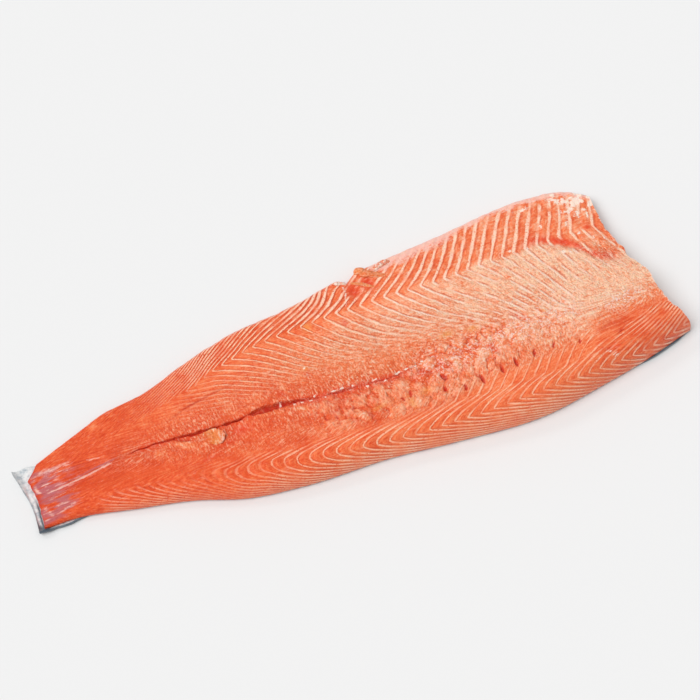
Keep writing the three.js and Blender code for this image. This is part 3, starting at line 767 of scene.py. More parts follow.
def lineShow(x, y, crossing):
    # white lines are strong on the flap and the back and fade on the loin; film, the middle of the
    # head, the tear and the belly's band hide them, and they come and go along their length
    above = y - dorsalRow(x)
    onFlap = y - flapBorder(x)
    reach = mix(66, 92, smooth(90, 160, x))
    wider = 13 * smooth(205, 245, x)
    flap = smooth(-3, 3, y - bellyRow(x)) * smooth(-215, -60, x)
    inner = smooth(-reach, 40 - reach, onFlap) * smooth(-175, -60, x) * (1 - 0.8 * crossing)
    back = 0.68 * smooth(15 + wider, 10 + wider, above) * smooth(-190, -50, x)
    back = back * mix(1, mix(1.35, 0.7, smooth(-6, 6, above)), smooth(225, 255, x))
    upper = 0.6 * smooth(8, 12, above) * smooth(36, 26, above) * smooth(0, 90, x) * smooth(225, 205, x)
    tail = 0.35 * smooth(-130, -190, x) * smooth(-250, -235, x) * smooth(0, -8, above)
    show = np.maximum.reduce([flap, inner, back, upper, tail])

    band = smooth(60, 80, x) * (1 - smooth(0.4 * bandWidth(x), bandWidth(x), bellyEdge(x) - y))
    middle = smooth(205, 228, x) * smooth(6, -14, y) * smooth(24, 32, above)
    hidden = [0.9 * filmReach(x, y), middle, 2 * strongest(x, y, tear["hollows"]), 0.7 * band]
    ribs = smooth(70, 130, x) * smooth(2, -6, onFlap) * smooth(36, 46, above)
    broken = np.maximum(ribs, smooth(205, 235, x))
    kept = 1 - 0.2 * broken + (0.7 + 0.5 * broken) * unevenness(x, y, 7, 48)
    return show * (1 - np.clip(np.maximum.reduce(hidden), 0, 1)) * np.clip(kept, 0, 1.15)


def lineZones(x, y, zone):
    # a line's own width in mm makes a share of the spacing there, soft and broad towards the tail; the dark
    # shade painted in the dip beside it is strongest on the flap behind the tear and at the head
    above = y - dorsalRow(x)
    onFlap = y - flapBorder(x)
    show = lineShow(x, y, zone["crossing"])
    corner = smooth(225, 250, x) * smooth(10, 0, above)
    far = smooth(-60, -160, x)
    overFlap = smooth(-2, 6, onFlap)
    wide = 1.15 + overFlap * (0.8 * smooth(-80, 0, x) + 0.55 * smooth(70, 140, x))
    wide = wide + 0.7 * smooth(-20, 30, x) * (1 - overFlap) * smooth(36, 46, above)
    wide = wide * (1 + 0.4 * unevenness(x, y, 8, 49)) + 0.6 * corner
    flapShare = smooth(-2, 3, onFlap)
    groove = 0.55 + 0.35 * flapShare * smooth(60, 0, x) + 0.35 * smooth(200, 230, x) * smooth(34, 28, above)
    white = mix(smooth(-20, 90, x) * smooth(38, 48, above), 0.55 * smooth(-60, 10, x), flapShare)
    return {
        "lineShow": np.clip(show * (1 - zone["deep"]) * (1 - 0.7 * zone["gap"]), 0, 1),
        "lineHalf": np.clip(0.5 * wide * lineDensity(x, y), 0.03 + 0.13 * far, 0.27),
        "groove": np.clip(show * (groove - 0.2 * far), 0, 1),
        # at the head's back corner the lines are painted whiter, a painted highlight on a slope the lamp
        # leaves shaded
        "white": np.clip(white + 0.4 * corner, 0, 1)}


def zonesAt(x, y):
    # each zone runs from about 0 to 1 and is one of the material's attributes; only lines is a count
    zone = crumbZones(x, y)
    zone["lines"] = lineAt(x, y)
    zone["deep"] = deepAt(x, y)
    zone["rich"] = richAt(x, y)
    zone["film"] = filmAt(x, y)
    zone["haze"] = hazeAt(x, y, zone["film"])
    zone["fat"] = fatAt(x, y)
    zone["yellow"] = 0.8 * strongest(x, y, yellowSpots)
    return {**zone, **lineZones(x, y, zone)}


flesh = {
    "laneCounts": [20, 40, 12, 12, 42, 28],  # lanes between the rows from the dorsal to the belly edge
    "splitReach": 7,  # mm on both sides of the split where the lanes crowd
    "perLine": 10,  # columns for each white line of the loin
    "perTailLine": 8,
    "tailLine": -7,  # the line, counted from the middle, behind which the columns are as at the tail
    "farBelow": 26,  # mm from the rows where the columns stop following the lines' arms
    "farBack": 22,
    "wallRows": 8,
    "baseInset": 1,
}


def laneShares():
    # shares through the seven rows, crowding at both rims and at the split
    bends = [lambda t: t ** 1.5, lambda t: t, lambda t: 1 - (1 - t) ** 1.5,
             lambda t: t ** 1.5, lambda t: t, lambda t: 1 - (1 - t) ** 1.4]
    parts = [k + bend(np.arange(n) / n) for k, (n, bend) in enumerate(zip(flesh["laneCounts"], bends))]
    return np.concatenate(parts + [[6.0]])


def laneY(share, x):
    # straight between neighbouring rows; x has one row for all lanes or one for each
    middle, back, belly = middleSplit(x), dorsalRow(x), bellyRow(x)
    near = np.minimum(flesh["splitReach"], 0.4 * np.minimum(middle - back, belly - middle))
    rows = np.stack([dorsalEdge(x), back, middle - near, middle, middle + near, belly, bellyEdge(x)])
    k = np.minimum(share.astype(int), 5)
    f = (share - k)[:, None]
    if x.ndim == 1:
        return rows[k] * (1 - f) + rows[k + 1] * f
    lane = np.arange(len(share))
    return rows[k, lane] * (1 - f) + rows[k + 1, lane] * f


def fleshGrid():
    # columns follow the white lines near their turns and lanes follow the outline; both ends are
    # clamped to the knife's cuts, found by going back and forth between a lane's end and its place
    share = laneShares()
    xs = np.linspace(-330, 330, 1600)  # past both ends
    laneYs = laneY(share, xs)
    shift = lineShift(xs + 0 * laneYs, laneYs, flesh["farBelow"], flesh["farBack"])
    counts = np.maximum.accumulate(lineCount(xs - shift), axis=1)
    coarse = np.arange(math.floor(counts.min()), flesh["tailLine"], 1 / flesh["perTailLine"])
    fine = np.arange(flesh["tailLine"], math.ceil(counts.max()), 1 / flesh["perLine"])
    columns = np.concatenate([coarse, fine])
    x = np.stack([np.interp(columns, row, xs) for row in counts])
    tailX = np.full((len(share), 1), -292.0)  # near the cuts
    headX = np.full((len(share), 1), 285.0)
    for _ in range(12):
        tailX = tailCut(laneY(share, tailX))
        headX = mix(headX, headCut(laneY(share, headX)), 0.7)
    x = np.clip(x, tailX, headX)
    return x, laneY(share, x)


def fleshWalls(edge, lane, lastLane, edgeZones):
    # from the edge down to the base: the sides lean in by inset * level^2, and both cuts are uneven
    # by a half sine of the level; a cut has thin lines and membrane, and is dark at the tail
    level = np.arange(1, flesh["wallRows"] + 1)[:, None] / flesh["wallRows"]
    x, y, z = edge.T
    side = (lane == 0) | (lane == lastLane)
    atHead, atTail = ~side & (x > 0), ~side & (x <= 0)
    fromCut = np.minimum(x - tailCut(y), headCut(y) - x)
    inward = np.where(lane == 0, 1.0, -1.0) * side * flesh["baseInset"] * smooth(0, 6, fromCut)
    drop = level * (z - fish["fleshBase"])
    low = z - drop
    uneven = np.where(side, 0, 0.5 * unevenness(y, low, 4, 63) * np.sin(np.pi * level))
    points = np.stack([x + uneven, y + inward * level ** 2, low], -1)
    zone = {key: value + 0 * level for key, value in edgeZones.items()}
    zone["lines"] = zone["lines"] + 0.1 * drop + 0.15 * unevenness(y, low, 9, 64) * level
    zone["lineHalf"] = np.where(side, zone["lineHalf"], 0.1)
    zone["lineShow"] = np.where(atHead, 0.75, zone["lineShow"])
    zone["deep"] = 0.55 * atTail + 0 * level
    zone["film"] = np.where(side, zone["film"], np.where(atHead, 0.8 * smooth(5, 1.5, low), 0.45))
    zone["fat"] = zone["fat"] * (1 - level)
    zone["grain"] = np.where(side, zone["grain"], 0.4)
    return points, zone


def buildFlesh():
    # the cut face as a grid, walls round its border, and a flat base
    x, y = fleshGrid()
    lanes, columns = x.shape
    index = clamped(x) + columns * np.arange(lanes)[:, None]
    top = np.stack([x, y, topHeight(x, y)], -1).reshape(-1, 3)
    zones = {key: value.ravel() for key, value in zonesAt(x, y).items()}

    # two triangles a cell, split along the shorter diagonal
    a, b, c, d = corners(index)
    long = np.linalg.norm(top[a] - top[c], axis=1) > np.linalg.norm(top[b] - top[d], axis=1)
    face = [np.stack([a, b, np.where(long, d, c)], 1), np.stack([np.where(long, b, a), c, d], 1)]

    # the border runs dorsal edge, head cut, belly edge, tail cut
    border = np.concatenate([index[0], index[:, -1], index[-1, ::-1], index[::-1, 0]])
    border = border[border != np.roll(border, -1)]
    edgeZones = {key: value[border] for key, value in zones.items()}
    walls, wallZones = fleshWalls(top[border], border // columns, lanes - 1, edgeZones)
    rings = np.arange(len(walls) * len(border)).reshape(len(walls), -1) + len(top)
    a, b, c, d = corners(np.concatenate([border[None, :], rings]), closed=True)
    faces, used = packed(np.concatenate([*face, *halved(a, d, c, b)]))
    base = np.searchsorted(used, rings[-1])[::-1]
    points = np.concatenate([top, walls.reshape(-1, 3)])[used]
    attributes = {key: np.append(value, wallZones[key])[used] for key, value in zones.items()}
    print("flesh:", len(faces), "triangles")
    return addMesh("salmonFlesh", points, faces.tolist() + [base.tolist()], attributes, sharp=60)


fleshPiece = buildFlesh()
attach(fleshPiece, "root")
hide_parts("flesh")


# the flake that has come loose below the split
looseFlake = {
    "root": -156,
    "tip": -127,
    "middle": (-7, -12.5),  # y of its middle at both ends
    "half": (2.4, 7.6),
    "lift": (-1.2, 2.2),
    "thick": (1.3, 0.75),
    "roundTip": 5,
    "rows": 40,
    "columns": 40,
}


def buildLooseFlake():
    # a leaf over the flesh: its half width follows sin(1.9 u) and its lift u^1.5 along it, its back is
    # an arch sqrt(1.02 - v^2) across it, and its tip is round by (1 - v^2) u and ragged by u^3
    u = np.linspace(0, 1, looseFlake["columns"])[:, None]
    v = np.linspace(-1, 1, looseFlake["rows"])[None, :]
    middle = mix(*looseFlake["middle"], u)
    half = mix(*looseFlake["half"], np.sin(u * 1.9)) * (1 + 0.05 * np.sin(9 * u))
    lift = mix(*looseFlake["lift"], u ** 1.5)
    thick = mix(*looseFlake["thick"], u)
    x = mix(looseFlake["root"], looseFlake["tip"] - 3, u) + looseFlake["roundTip"] * (1 - v * v) * u
    x = x + 1.8 * unevenness(v * 7.5 + 50, 0 * v, 2.2, 71) * u ** 3
    y = middle + v * half * (1 + 0.06 * unevenness(x, 0 * x, 3, 76))
    rest = topHeight(x, middle + 0 * v) + lift
    over = rest + thick * np.sqrt(1.02 - v * v) + 0.25 * unevenness(x, y, 2.5, 72) - 0.6 * np.abs(v) ** 3
    under = np.minimum(rest - thick * (1 - 0.55 * v * v), over - 0.15)
    points = np.concatenate([np.stack([x, y, z], -1).reshape(-1, 3) for z in (over, under)])

    size = x.size
    index = np.arange(size).reshape(x.shape)
    a, b, c, d = corners(index)
    back = np.stack([a, d, c, b], 1)
    rim = np.concatenate([index[:, 0], index[-1, 1:], index[-2::-1, -1], index[0, -2:0:-1]])
    after = np.roll(rim, -1)
    wall = np.stack([after, rim, rim + size, after + size], 1)
    faces = np.concatenate([back, back[:, ::-1] + size, wall])

    px, py = points[:, 0], points[:, 1]
    share = np.tile(np.repeat(u[:, 0], x.shape[1]), 2)
    isOver = np.arange(len(points)) < size
    ragged = unevenness(px, py, 2.2, 74)
    zone = zonesAt(px, py)
    # the underside is painted dark red, a painted shade under the flake
    zone["deep"] = np.where(isOver, 0.0, 0.5)
    zone["yellow"] = 0.48 * bump(share - 0.7, 0.2) * isOver
    zone["haze"] = 0.4 * smooth(0.82, 0.98, share + 0.1 * ragged) * frayed(ragged, 0.8, 0.9) * isOver
    zone["rich"] = 0.3 * (1 - share)
    zone["pale"] = 0.3 + 0.25 * smooth(0.5, 1, share)
    zone["grain"] = 0.9 + 0 * share
    for key in ("fat", "lineShow", "groove"):
        zone[key] = 0 * share
    return addMesh("looseFlake", points, faces.tolist(), zone, sharp=70)


flakePiece = buildLooseFlake()
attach(flakePiece, "root")
print("loose flake made")


tornStrips = [  # path of (x, y, lift), half width, thickness, how fat and how yellow
    {"path": [(70, 79, -2.2), (61, 85, 0.2), (54, 89, 1.2), (50, 92, 0.8)],
     "half": 4.2, "thick": 5, "fat": 0, "yellow": 0.3},
    {"path": [(55, 89, 0.4), (51, 93, 1.8), (46, 96, 1.8)],
     "half": 4, "thick": 6, "fat": 0, "yellow": 0.45},
    {"path": [(82, 91, -1.2), (76, 92.5, 0.3), (69, 92, 0.8), (62, 90, -0.6)],
     "half": 3.2, "thick": 2.6, "fat": 0.5, "yellow": 0},
    {"path": [(60, 70, -2), (52, 76, 0), (45, 81, 0.4), (38, 86, -0.4)],
     "half": 1.8, "thick": 2.6, "fat": 0.25, "yellow": 0.5},
    {"path": [(34, 86, -0.6), (29, 89, 0.2), (23, 91.5, -0.2)],
     "half": 2.4, "thick": 1.6, "fat": 0.6, "yellow": 0},
]


def buildStrip(number, strip):
    # a flattened tube: ring points (cos, sin) scaled by half width and thickness and carried along a
    # smooth path; the radius follows sqrt(1 - t^4) over the second half, so that the tip is blunt
    s = np.linspace(0, 1, 36)[:, None]
    turn = np.linspace(0, 2 * np.pi, 18, endpoint=False)[None, :]
    path = np.array(strip["path"], float)
    place = np.linspace(0, 1, len(path))
    px, py, lift = [through(np.stack([place, column], 1))(s) for column in path.T]
    dx, dy = np.gradient(px[:, 0])[:, None], np.gradient(py[:, 0])[:, None]
    size = np.hypot(dx, dy)
    second = 2 * np.clip(s, 0.5, 1) - 1
    taper = np.sqrt(np.clip(1 - second ** 4, 0.002, 1)) * mix(0.8, 1, s)
    taper = taper * (1 + 0.12 * unevenness(s * 30, 0 * s + 7 * number, 4, 73))
    across = np.cos(turn) * strip["half"] * taper
    x = px - dy / size * across
    y = py + dx / size * across
    base = topHeight(px, np.minimum(py, bellyEdge(px) - 2))
    z = base + lift + np.sin(turn) * strip["thick"] / 2 * taper + 0.7 * unevenness(x, y, 2.6, 75)
    z = np.maximum(z, fish["fleshBase"] + 0.2)
    index = np.arange(x.size).reshape(x.shape)
    faces = np.stack(corners(index, closed=True), 1).tolist() + [index[0, ::-1].tolist(), index[-1].tolist()]
    even = {"pale": 0.4, "fat": strip["fat"], "yellow": strip["yellow"], "grain": 0.9,
            "pink": strip["fat"], "lineHalf": 0.1, "lineShow": 0.4}
    zone = {key: np.full(x.size, value) for key, value in even.items()}
    zone["lines"] = 1.2 * np.tile(np.cos(turn[0]), len(s))
    return addMesh(f"tornStrip{number}", np.stack([x, y, z], -1).reshape(-1, 3), faces, zone, sharp=70)


stripPieces = [buildStrip(k, strip) for k, strip in enumerate(tornStrips, 1)]
for piece in stripPieces:
    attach(piece, "root")
print("torn strips made")


skin = {
    "tailOverhang": 8,
    "tailCurl": 5,
    "curlStart": -297,
    "columns": 420,
    "gap": 0.3,
    "inside": (8, 14),  # corners of the section between which the sheet faces the flesh
}


def skinSection(x, atTail, atHead):
    # the section runs down the back edge's lip, under the flesh to the belly and back above the
    # lower side: its points, how many corners each has passed, and both its edges; the margin hides
    # it 1.8 mm under the back edge, and shows it 2.6 mm past the edge at the tail and 1 mm at the head
    margin = mix(-1.8, 2.6, atTail) + 2.8 * atHead + 0.6 * unevenness(x, 0 * x, 6, 81) * atTail
    thick = fish["skinThickness"]
    lip = thick + 0.2 + 1.6 * atTail + 2.2 * atHead
    outer = dorsalEdge(x) - margin - skin["gap"]
    inner = np.minimum(outer + thick, np.maximum(outer + 0.3, dorsalEdge(x) - skin["gap"]))
    belly = bellyLine(x) - 1.6 - 9 * bump(x - 35, 7) + 9 * smooth(-276, -297, x)
    near, middle, far = [mix(outer, belly, share) for share in (0.25, 0.5, 0.75)]
    section = [  # y and z of a corner, and the steps to the next one
        (outer, lip, 3), (outer + 0.1, 0.6 * thick, 3), (outer + 1.4, 0, 4),
        (near, 0, 6), (middle, 0, 6), (far, 0, 6), (belly - 1, 0, 3), (belly, 0.6 * thick, 3),
        (belly - 0.8, thick, 3), (far, thick, 6), (middle, thick, 6), (near, thick, 6),
        (outer + 3.4, thick, 3), (outer + 2.4, thick + 0.1, 3), (inner, thick + 0.6, 3),
        (inner, lip + 0.1, 2)]
    passed = np.concatenate([k + np.arange(steps) / steps for k, (_, _, steps) in enumerate(section)])
    k = passed.astype(int)
    f = passed - k
    after = (k + 1) % len(section)
    ys = np.concatenate([corner[0] for corner in section], 1)
    zs = np.concatenate([corner[1] + 0 * x for corner in section], 1)
    y = ys[:, k] * (1 - f) + ys[:, after] * f
    z = zs[:, k] * (1 - f) + zs[:, after] * f
    return y, z, passed, outer, belly


def buildSkin():
    # past the flesh at the tail the sheet curls up as (distance / overhang)^1.6
    share = np.linspace(0, 1, skin["columns"])[:, None]
    x = mix(-0.51, 0.52, 0.2 * share + 0.8 * share ** 1.6) * fish["length"]
    atTail = smooth(-250, -276, x)
    atHead = smooth(222, 262, x) * (1 - 0.5 * smooth(282, 298, x))
    y, z, passed, outer, belly = skinSection(x, atTail, atHead)
    # the overhang ends in a ragged hollow curve
    end = tailEnd(y) - skin["tailOverhang"] + 1.5 - 0.04 * y + 0.9 * unevenness(y, 0 * y, 5, 82)
    headEnd = headLine(y) + 0.8 + 4 * smooth(-80, -92, y)
    x = np.clip(x + 0 * y, end, headEnd)
    out = np.maximum(0, skin["curlStart"] - x)
    z = z + skin["tailCurl"] * (out / skin["tailOverhang"]) ** 1.6
    z = z + 0.5 * unevenness(x, y, 6, 83) * smooth(0, 3, out)
    knob = np.minimum(1, 1.4 * spot(x, y, (-295, -27.5), (4.5, 2.8)))  # at the tail's back corner
    z = z + 2.2 * knob

    around = x.shape[1]
    index = clamped(x.T).T * around + np.arange(around)
    face = halved(*corners(index, closed=True))
    # both ends are closed across, from the lower line to the upper one
    for line, turnOver in ((index[0], False), (index[-1], True)):
        low, high = line[:around // 2], line[::-1][:around // 2]
        cap = np.concatenate(halved(low[:-1], high[:-1], high[1:], low[1:]))
        face.append(cap[:, ::-1] if turnOver else cap)
    faces, used = packed(np.concatenate(face))

    # dark along the rim, where the flesh ends at the tail, and at the tail's back corner
    start, stop = skin["inside"]
    fromRim = np.minimum(x - end, y - outer) + 0.3 * unevenness(x, y, 4, 84)
    zone = {
        "inside": ((passed >= start) & (passed < stop)) + 0 * x,
        "across": (y - outer) / (belly - outer),
        "rimDark": np.maximum.reduce([
            smooth(1.3, 0.2, fromRim) * mix(1, mix(0.8, 0.3, smooth(-24, -8, y)), atTail),
            bump(x - tailCut(y) + 1.5, 1.1) * smooth(6, -4, y) * atTail,
            0.9 * smooth(-18, -24, y) * smooth(-290, -292, x),
            knob, 0.8 * spot(x, y, (-256, -30), (3, 1.2))])}
    zone = {key: value.ravel()[used] for key, value in zone.items()}
    points = np.stack([x, y, z], -1).reshape(-1, 3)[used]
    return addMesh("salmonSkin", points, faces.tolist(), zone, sharp=60)


skinPiece = buildSkin()
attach(skinPiece, "root")
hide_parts("skin")
print("skin made:", len(skinPiece.data.polygons), "faces")


# raw Atlantic salmon muscle, knife cut and wet: orange pink, a little translucent, with white fat
# lines between the flakes, crumbs where the flakes were cut across, and juice that glints
salmonMuscle = {
    # a tone of 0 sits at 0.2 of the ramp
    "ramp": [(0, "#BC3816"), (0.2, "#D44318"), (0.36, "#E25628"), (0.6, "#F2804E"), (1, "#FFCBA8")],
    "rich": "#DE3C1A",
    "deep": "#BC2812",
    # the colour in the cracks between the lumps, painted shade
    "gap": "#DA4C20",
    # the colour beside each white line, painted shade in a shallow dip
    "groove": "#C8481C",
    "film": "#BC6A70",
    "haze": "#F6C4B6",
    "shade": "#A4463A",
    # white fat, and also the split's painted wet highlights
    "fat": "#FFE6D6",
    "line": "#FFC8A6",
    "white": "#FFE4D6",
    # pale crumbs, and the painted highlight on the lumps' crests
    "speckAndHighlight": "#FFDCC0",
    "pinkSpeck": "#FFDDD2",
    "dark": "#E07040",
    "yellow": "#F2A04E",
    # mm from crumb to crumb, how far it is stretched, octaves; fibres are drawn coarser than real
    "textures": {
        "crumb": (2.0, (1, 1, 1), 3), "fine": (1.3, (1, 1, 1), 2), "blotch": (15, (1, 1, 1), 2),
        "lump": (5, (1, 1, 1), 2), "along": (1.3, (0.16, 1, 1), 2), "across": (1.5, (1, 0.28, 1), 2)},
    "cell": 1.4,  # mm across a crumb
    "stray": 2.2,  # mm that a crumb's place strays
    "flecks": {"sparse": (0.14, 3.4), "dense": (0.5, 3.0)},  # lines from fleck to fleck, and mm along them
    "roughness": 0.4,
    "ior": 1.38,
    "scatter": 0.0012,  # m that light spreads in the flesh
}


def muscleTextures(tree, zone):
    # crumbs are cells on a strayed ground, each with its own tone; flecks lie along the white lines,
    # but cross the fish beside the split
    look = salmonMuscle
    place = addNode(tree, "ShaderNodeTexCoord").outputs["Object"]
    texture = {}
    for name, (size, stretch, octaves) in look["textures"].items():
        leaning = addNode(tree, "ShaderNodeMapping", {}, {
            "Vector": place, "Rotation": (0, 0, 0.1), "Scale": stretch})
        texture[name] = addNoise(tree, leaning, 1 / (size * mm), octaves).outputs["Fac"]

    stray = addNoise(tree, place, 1 / (2 * mm), 1.0).outputs["Color"]
    centred = addNode(tree, "ShaderNodeVectorMath", {"operation": "SUBTRACT"}, {0: stray, 1: (0.5, 0.5, 0.5)})
    ground = addNode(tree, "ShaderNodeVectorMath", {"operation": "MULTIPLY_ADD"}, {
        0: centred, 1: [look["stray"] * mm] * 3, 2: place})
    cell = addNode(tree, "ShaderNodeTexVoronoi", {}, {"Vector": ground, "Scale": 1 / (look["cell"] * mm)})
    texture["cell"] = cell.outputs["Distance"]
    apart = addNode(tree, "ShaderNodeSeparateColor", {}, {"Color": cell.outputs["Color"]})
    texture["own"] = apart.outputs["Red"]

    run = addNode(tree, "ShaderNodeSeparateXYZ", {}, {"Vector": ground}).outputs["Y"]
    fleck = {}
    for name, (apart, reach) in look["flecks"].items():
        laid = addNode(tree, "ShaderNodeCombineXYZ", {}, {
            "X": addMath(tree, "DIVIDE", zone["lines"], apart),
            "Y": addMath(tree, "DIVIDE", run, reach * mm)})
        fleck[name] = addNoise(tree, laid, 1.0, 1.5)
    dense = addNode(tree, "ShaderNodeMapRange", {}, {
        "Value": zone["lineHalf"], "From Min": 0.08, "From Max": 0.15})
    flow = addMix(tree, "FLOAT", dense, fleck["sparse"], fleck["dense"])
    texture["flow"] = addMix(tree, "FLOAT", zone["crossing"], flow, texture["across"])
    texture["fibre"] = addMix(tree, "FLOAT", zone["crossing"], texture["along"], texture["across"])
    return texture


def muscleSums(tree, zone, even):
    # each is a zone plus shares of its textures: the flesh's tone, the ragged edges of fat and membrane
    even["ownTone"] = addMath(tree, "MULTIPLY", even["own"], zone["grain"])
    total = {}
    for name, parts in (
            ("pale", {"ownTone": 0.16, "blotch": 0.3, "fibre": 0.4, "flow": 0.75, "crumb": 0.4}),
            ("fat", {"own": 0.35, "fibre": 0.6}),
            ("haze", {"own": 0.25, "fibre": 1.0}),
            ("film", {"fibre": 0.9, "blotch": 0.4})):
        total[name] = zone[name]
        for texture, share in parts.items():
            total[name] = addMath(tree, "MULTIPLY_ADD", even[texture], share, total[name])
    return total


def muscleMasks(tree, zone, texture, total, strayed):
    # soft steps from 0 to 1 on the textures, most of them kept to a zone
    step = {}
    for name, value, low, high in (
            ("light", texture["own"], 0.6, 0.85), ("dark", texture["cell"], 0.5, 0.8),
            ("flowLight", texture["flow"], 0.53, 0.66), ("flowDark", texture["flow"], 0.46, 0.34),
            ("whole", texture["fine"], 0.3, 0.44), ("shade", texture["fibre"], 0.45, 0.3),
            ("fat", total["fat"], 0.3, 0.72), ("film", total["film"], 0.1, 0.85),
            ("haze", total["haze"], 0.08, 0.9)):
        step[name] = addNode(tree, "ShaderNodeMapRange", {"interpolation_type": "SMOOTHSTEP"}, {
            "Value": value, "From Min": low, "From Max": high})

    # a white line where the count is whole, as wide as lineHalf says, and painted shade in a dip on
    # its head side
    aside = addMath(tree, "MULTIPLY_ADD", zone["lineHalf"], -2.0, strayed)
    for name, count, inner, outer in (("line", strayed, 0.5, 1.5), ("groove", aside, 0.3, 1.3)):
        step[name] = addNode(tree, "ShaderNodeMapRange", {"interpolation_type": "SMOOTHSTEP"}, {
            "Value": addMath(tree, "PINGPONG", count, 0.5),
            "From Min": addMath(tree, "MULTIPLY", zone["lineHalf"], inner),
            "From Max": addMath(tree, "MULTIPLY", zone["lineHalf"], outer), "To Min": 1.0, "To Max": 0.0})

    mask = {name: step[name] for name in ("fat", "film", "haze")}
    for name, first, second in (
            ("light", step["light"], zone["grain"]), ("dark", step["dark"], zone["grain"]),
            ("flowLight", step["flowLight"], zone["grain"]), ("flowDark", step["flowDark"], zone["grain"]),
            ("pink", step["light"], zone["pink"]), ("shade", step["shade"], zone["film"]),
            ("unbroken", step["whole"], step["line"]), ("groove", step["groove"], zone["groove"])):
        mask[name] = addMath(tree, "MULTIPLY", first, second)
    mask["line"] = addMath(tree, "MULTIPLY", mask["unbroken"], zone["lineShow"])
    mask["white"] = addMath(tree, "MULTIPLY", mask["line"], zone["white"])
    return mask


def muscleHeight(tree, zone, texture, mask):
    # crumbs, lumps, fibres and lines stand up, in mm
    height = addMath(tree, "MULTIPLY_ADD", zone["grain"], 1.6, 0.3)
    height = addMath(tree, "MULTIPLY", height, texture["crumb"])
    lump = addMath(tree, "MULTIPLY", texture["lump"], zone["torn"])
    for value, share in ((lump, 3.0), (texture["fibre"], 0.5), (texture["flow"], 0.6), (mask["dark"], -0.4),
                         (mask["line"], 0.3), (mask["groove"], -0.3), (mask["fat"], 0.2)):
        height = addMath(tree, "MULTIPLY_ADD", value, share, height)
    return height


def salmonMuscleMaterial():
    look = salmonMuscle
    material, tree, zone = newMaterial("rawSalmonMuscle", (
        "pale", "deep", "rich", "film", "fat", "yellow", "grain", "torn", "crossing", "gap", "crestHighlight",
        "pink", "haze", "lineShow", "lineHalf", "lines", "groove", "white"))
    texture = muscleTextures(tree, zone)
    even = {name: addMath(tree, "SUBTRACT", texture[name], 0.5)  # textures about 0
            for name in ("own", "blotch", "fibre", "flow", "crumb")}
    total = muscleSums(tree, zone, even)
    strayed = addMath(tree, "MULTIPLY_ADD", even["crumb"], 0.14, zone["lines"])
    mask = muscleMasks(tree, zone, texture, total, strayed)

    # paints laid over the tone's ramp, each where its mask says and as strong as its share; the paints
    # in the lumps' gaps and beside the white lines are painted shade, the paint on the lumps' crests is a
    # painted highlight, and the fat paint also lays the split's painted wet highlights
    color = addRamp(tree, look["ramp"], addMath(tree, "MULTIPLY_ADD", total["pale"], 0.8, 0.2))
    for where, share, paint in (
            (zone["rich"], 1.0, "rich"), (mask["dark"], 0.3, "dark"), (mask["flowDark"], 0.4, "dark"),
            (mask["light"], 0.2, "speckAndHighlight"), (mask["flowLight"], 0.5, "speckAndHighlight"),
            (mask["pink"], 0.65, "pinkSpeck"), (zone["yellow"], 0.7, "yellow"),
            (zone["crestHighlight"], 0.2, "speckAndHighlight"), (zone["gap"], 0.7, "gap"), (mask["groove"], 0.9, "groove"),
            (mask["line"], 1.0, "line"), (mask["white"], 0.6, "white"), (mask["film"], 0.85, "film"),
            (mask["shade"], 0.7, "shade"), (mask["haze"], 0.85, "haze"), (zone["deep"], 1.0, "deep"),
            (mask["fat"], 0.9, "fat")):
        color = addMix(tree, "RGBA", addMath(tree, "MULTIPLY", where, share), color, linear(look[paint]))

    height = muscleHeight(tree, zone, texture, mask)
    bumpNode = addNode(tree, "ShaderNodeBump", {}, {"Height": height, "Strength": 0.8, "Distance": mm})
    wet = addNode(tree, "ShaderNodeMapRange", {}, {
        "Value": texture["fine"], "From Min": 0.35, "From Max": 0.65,
        "To Min": look["roughness"] - 0.12, "To Max": look["roughness"] + 0.12})
    shader = addNode(tree, "ShaderNodeBsdfPrincipled", {}, {
        "Base Color": color, "Roughness": wet, "IOR": look["ior"], "Normal": bumpNode,
        "Subsurface Weight": 0.2, "Subsurface Radius": (1.0, 0.45, 0.25), "Subsurface Scale": look["scatter"],
        "Coat Weight": 0.15, "Coat Roughness": 0.15, "Coat IOR": 1.34})
    addNode(tree, "ShaderNodeOutputMaterial", {}, {"Surface": shader})
    return material


muscleMaterial = salmonMuscleMaterial()
for piece in [fleshPiece, flakePiece, *stripPieces]:
    piece.data.materials.append(muscleMaterial)

# salmon skin with its scales scraped thin: silver inside, blue grey back with dark spots, white belly
salmonSkin = {
    # shares of the way from the back to the belly
    "sides": [(0.08, "#566370"), (0.3, "#AEB9C0"), (0.5, "#C9D2D8"), (0.8, "#E4E6E4")],
    "between": "#AEB9C0",
    "inside": "#F0F1F0",
    "wrinkle": "#B4BDC4",
    "rim": "#46525E",
    "spot": "#1F262D",
    "scale": 4.0,  # mm across a scale
    "textures": {"spots": (14, 1.0), "wrinkle": (3.5, 3.0)},  # mm, octaves
    "roughness": 0.28,
}


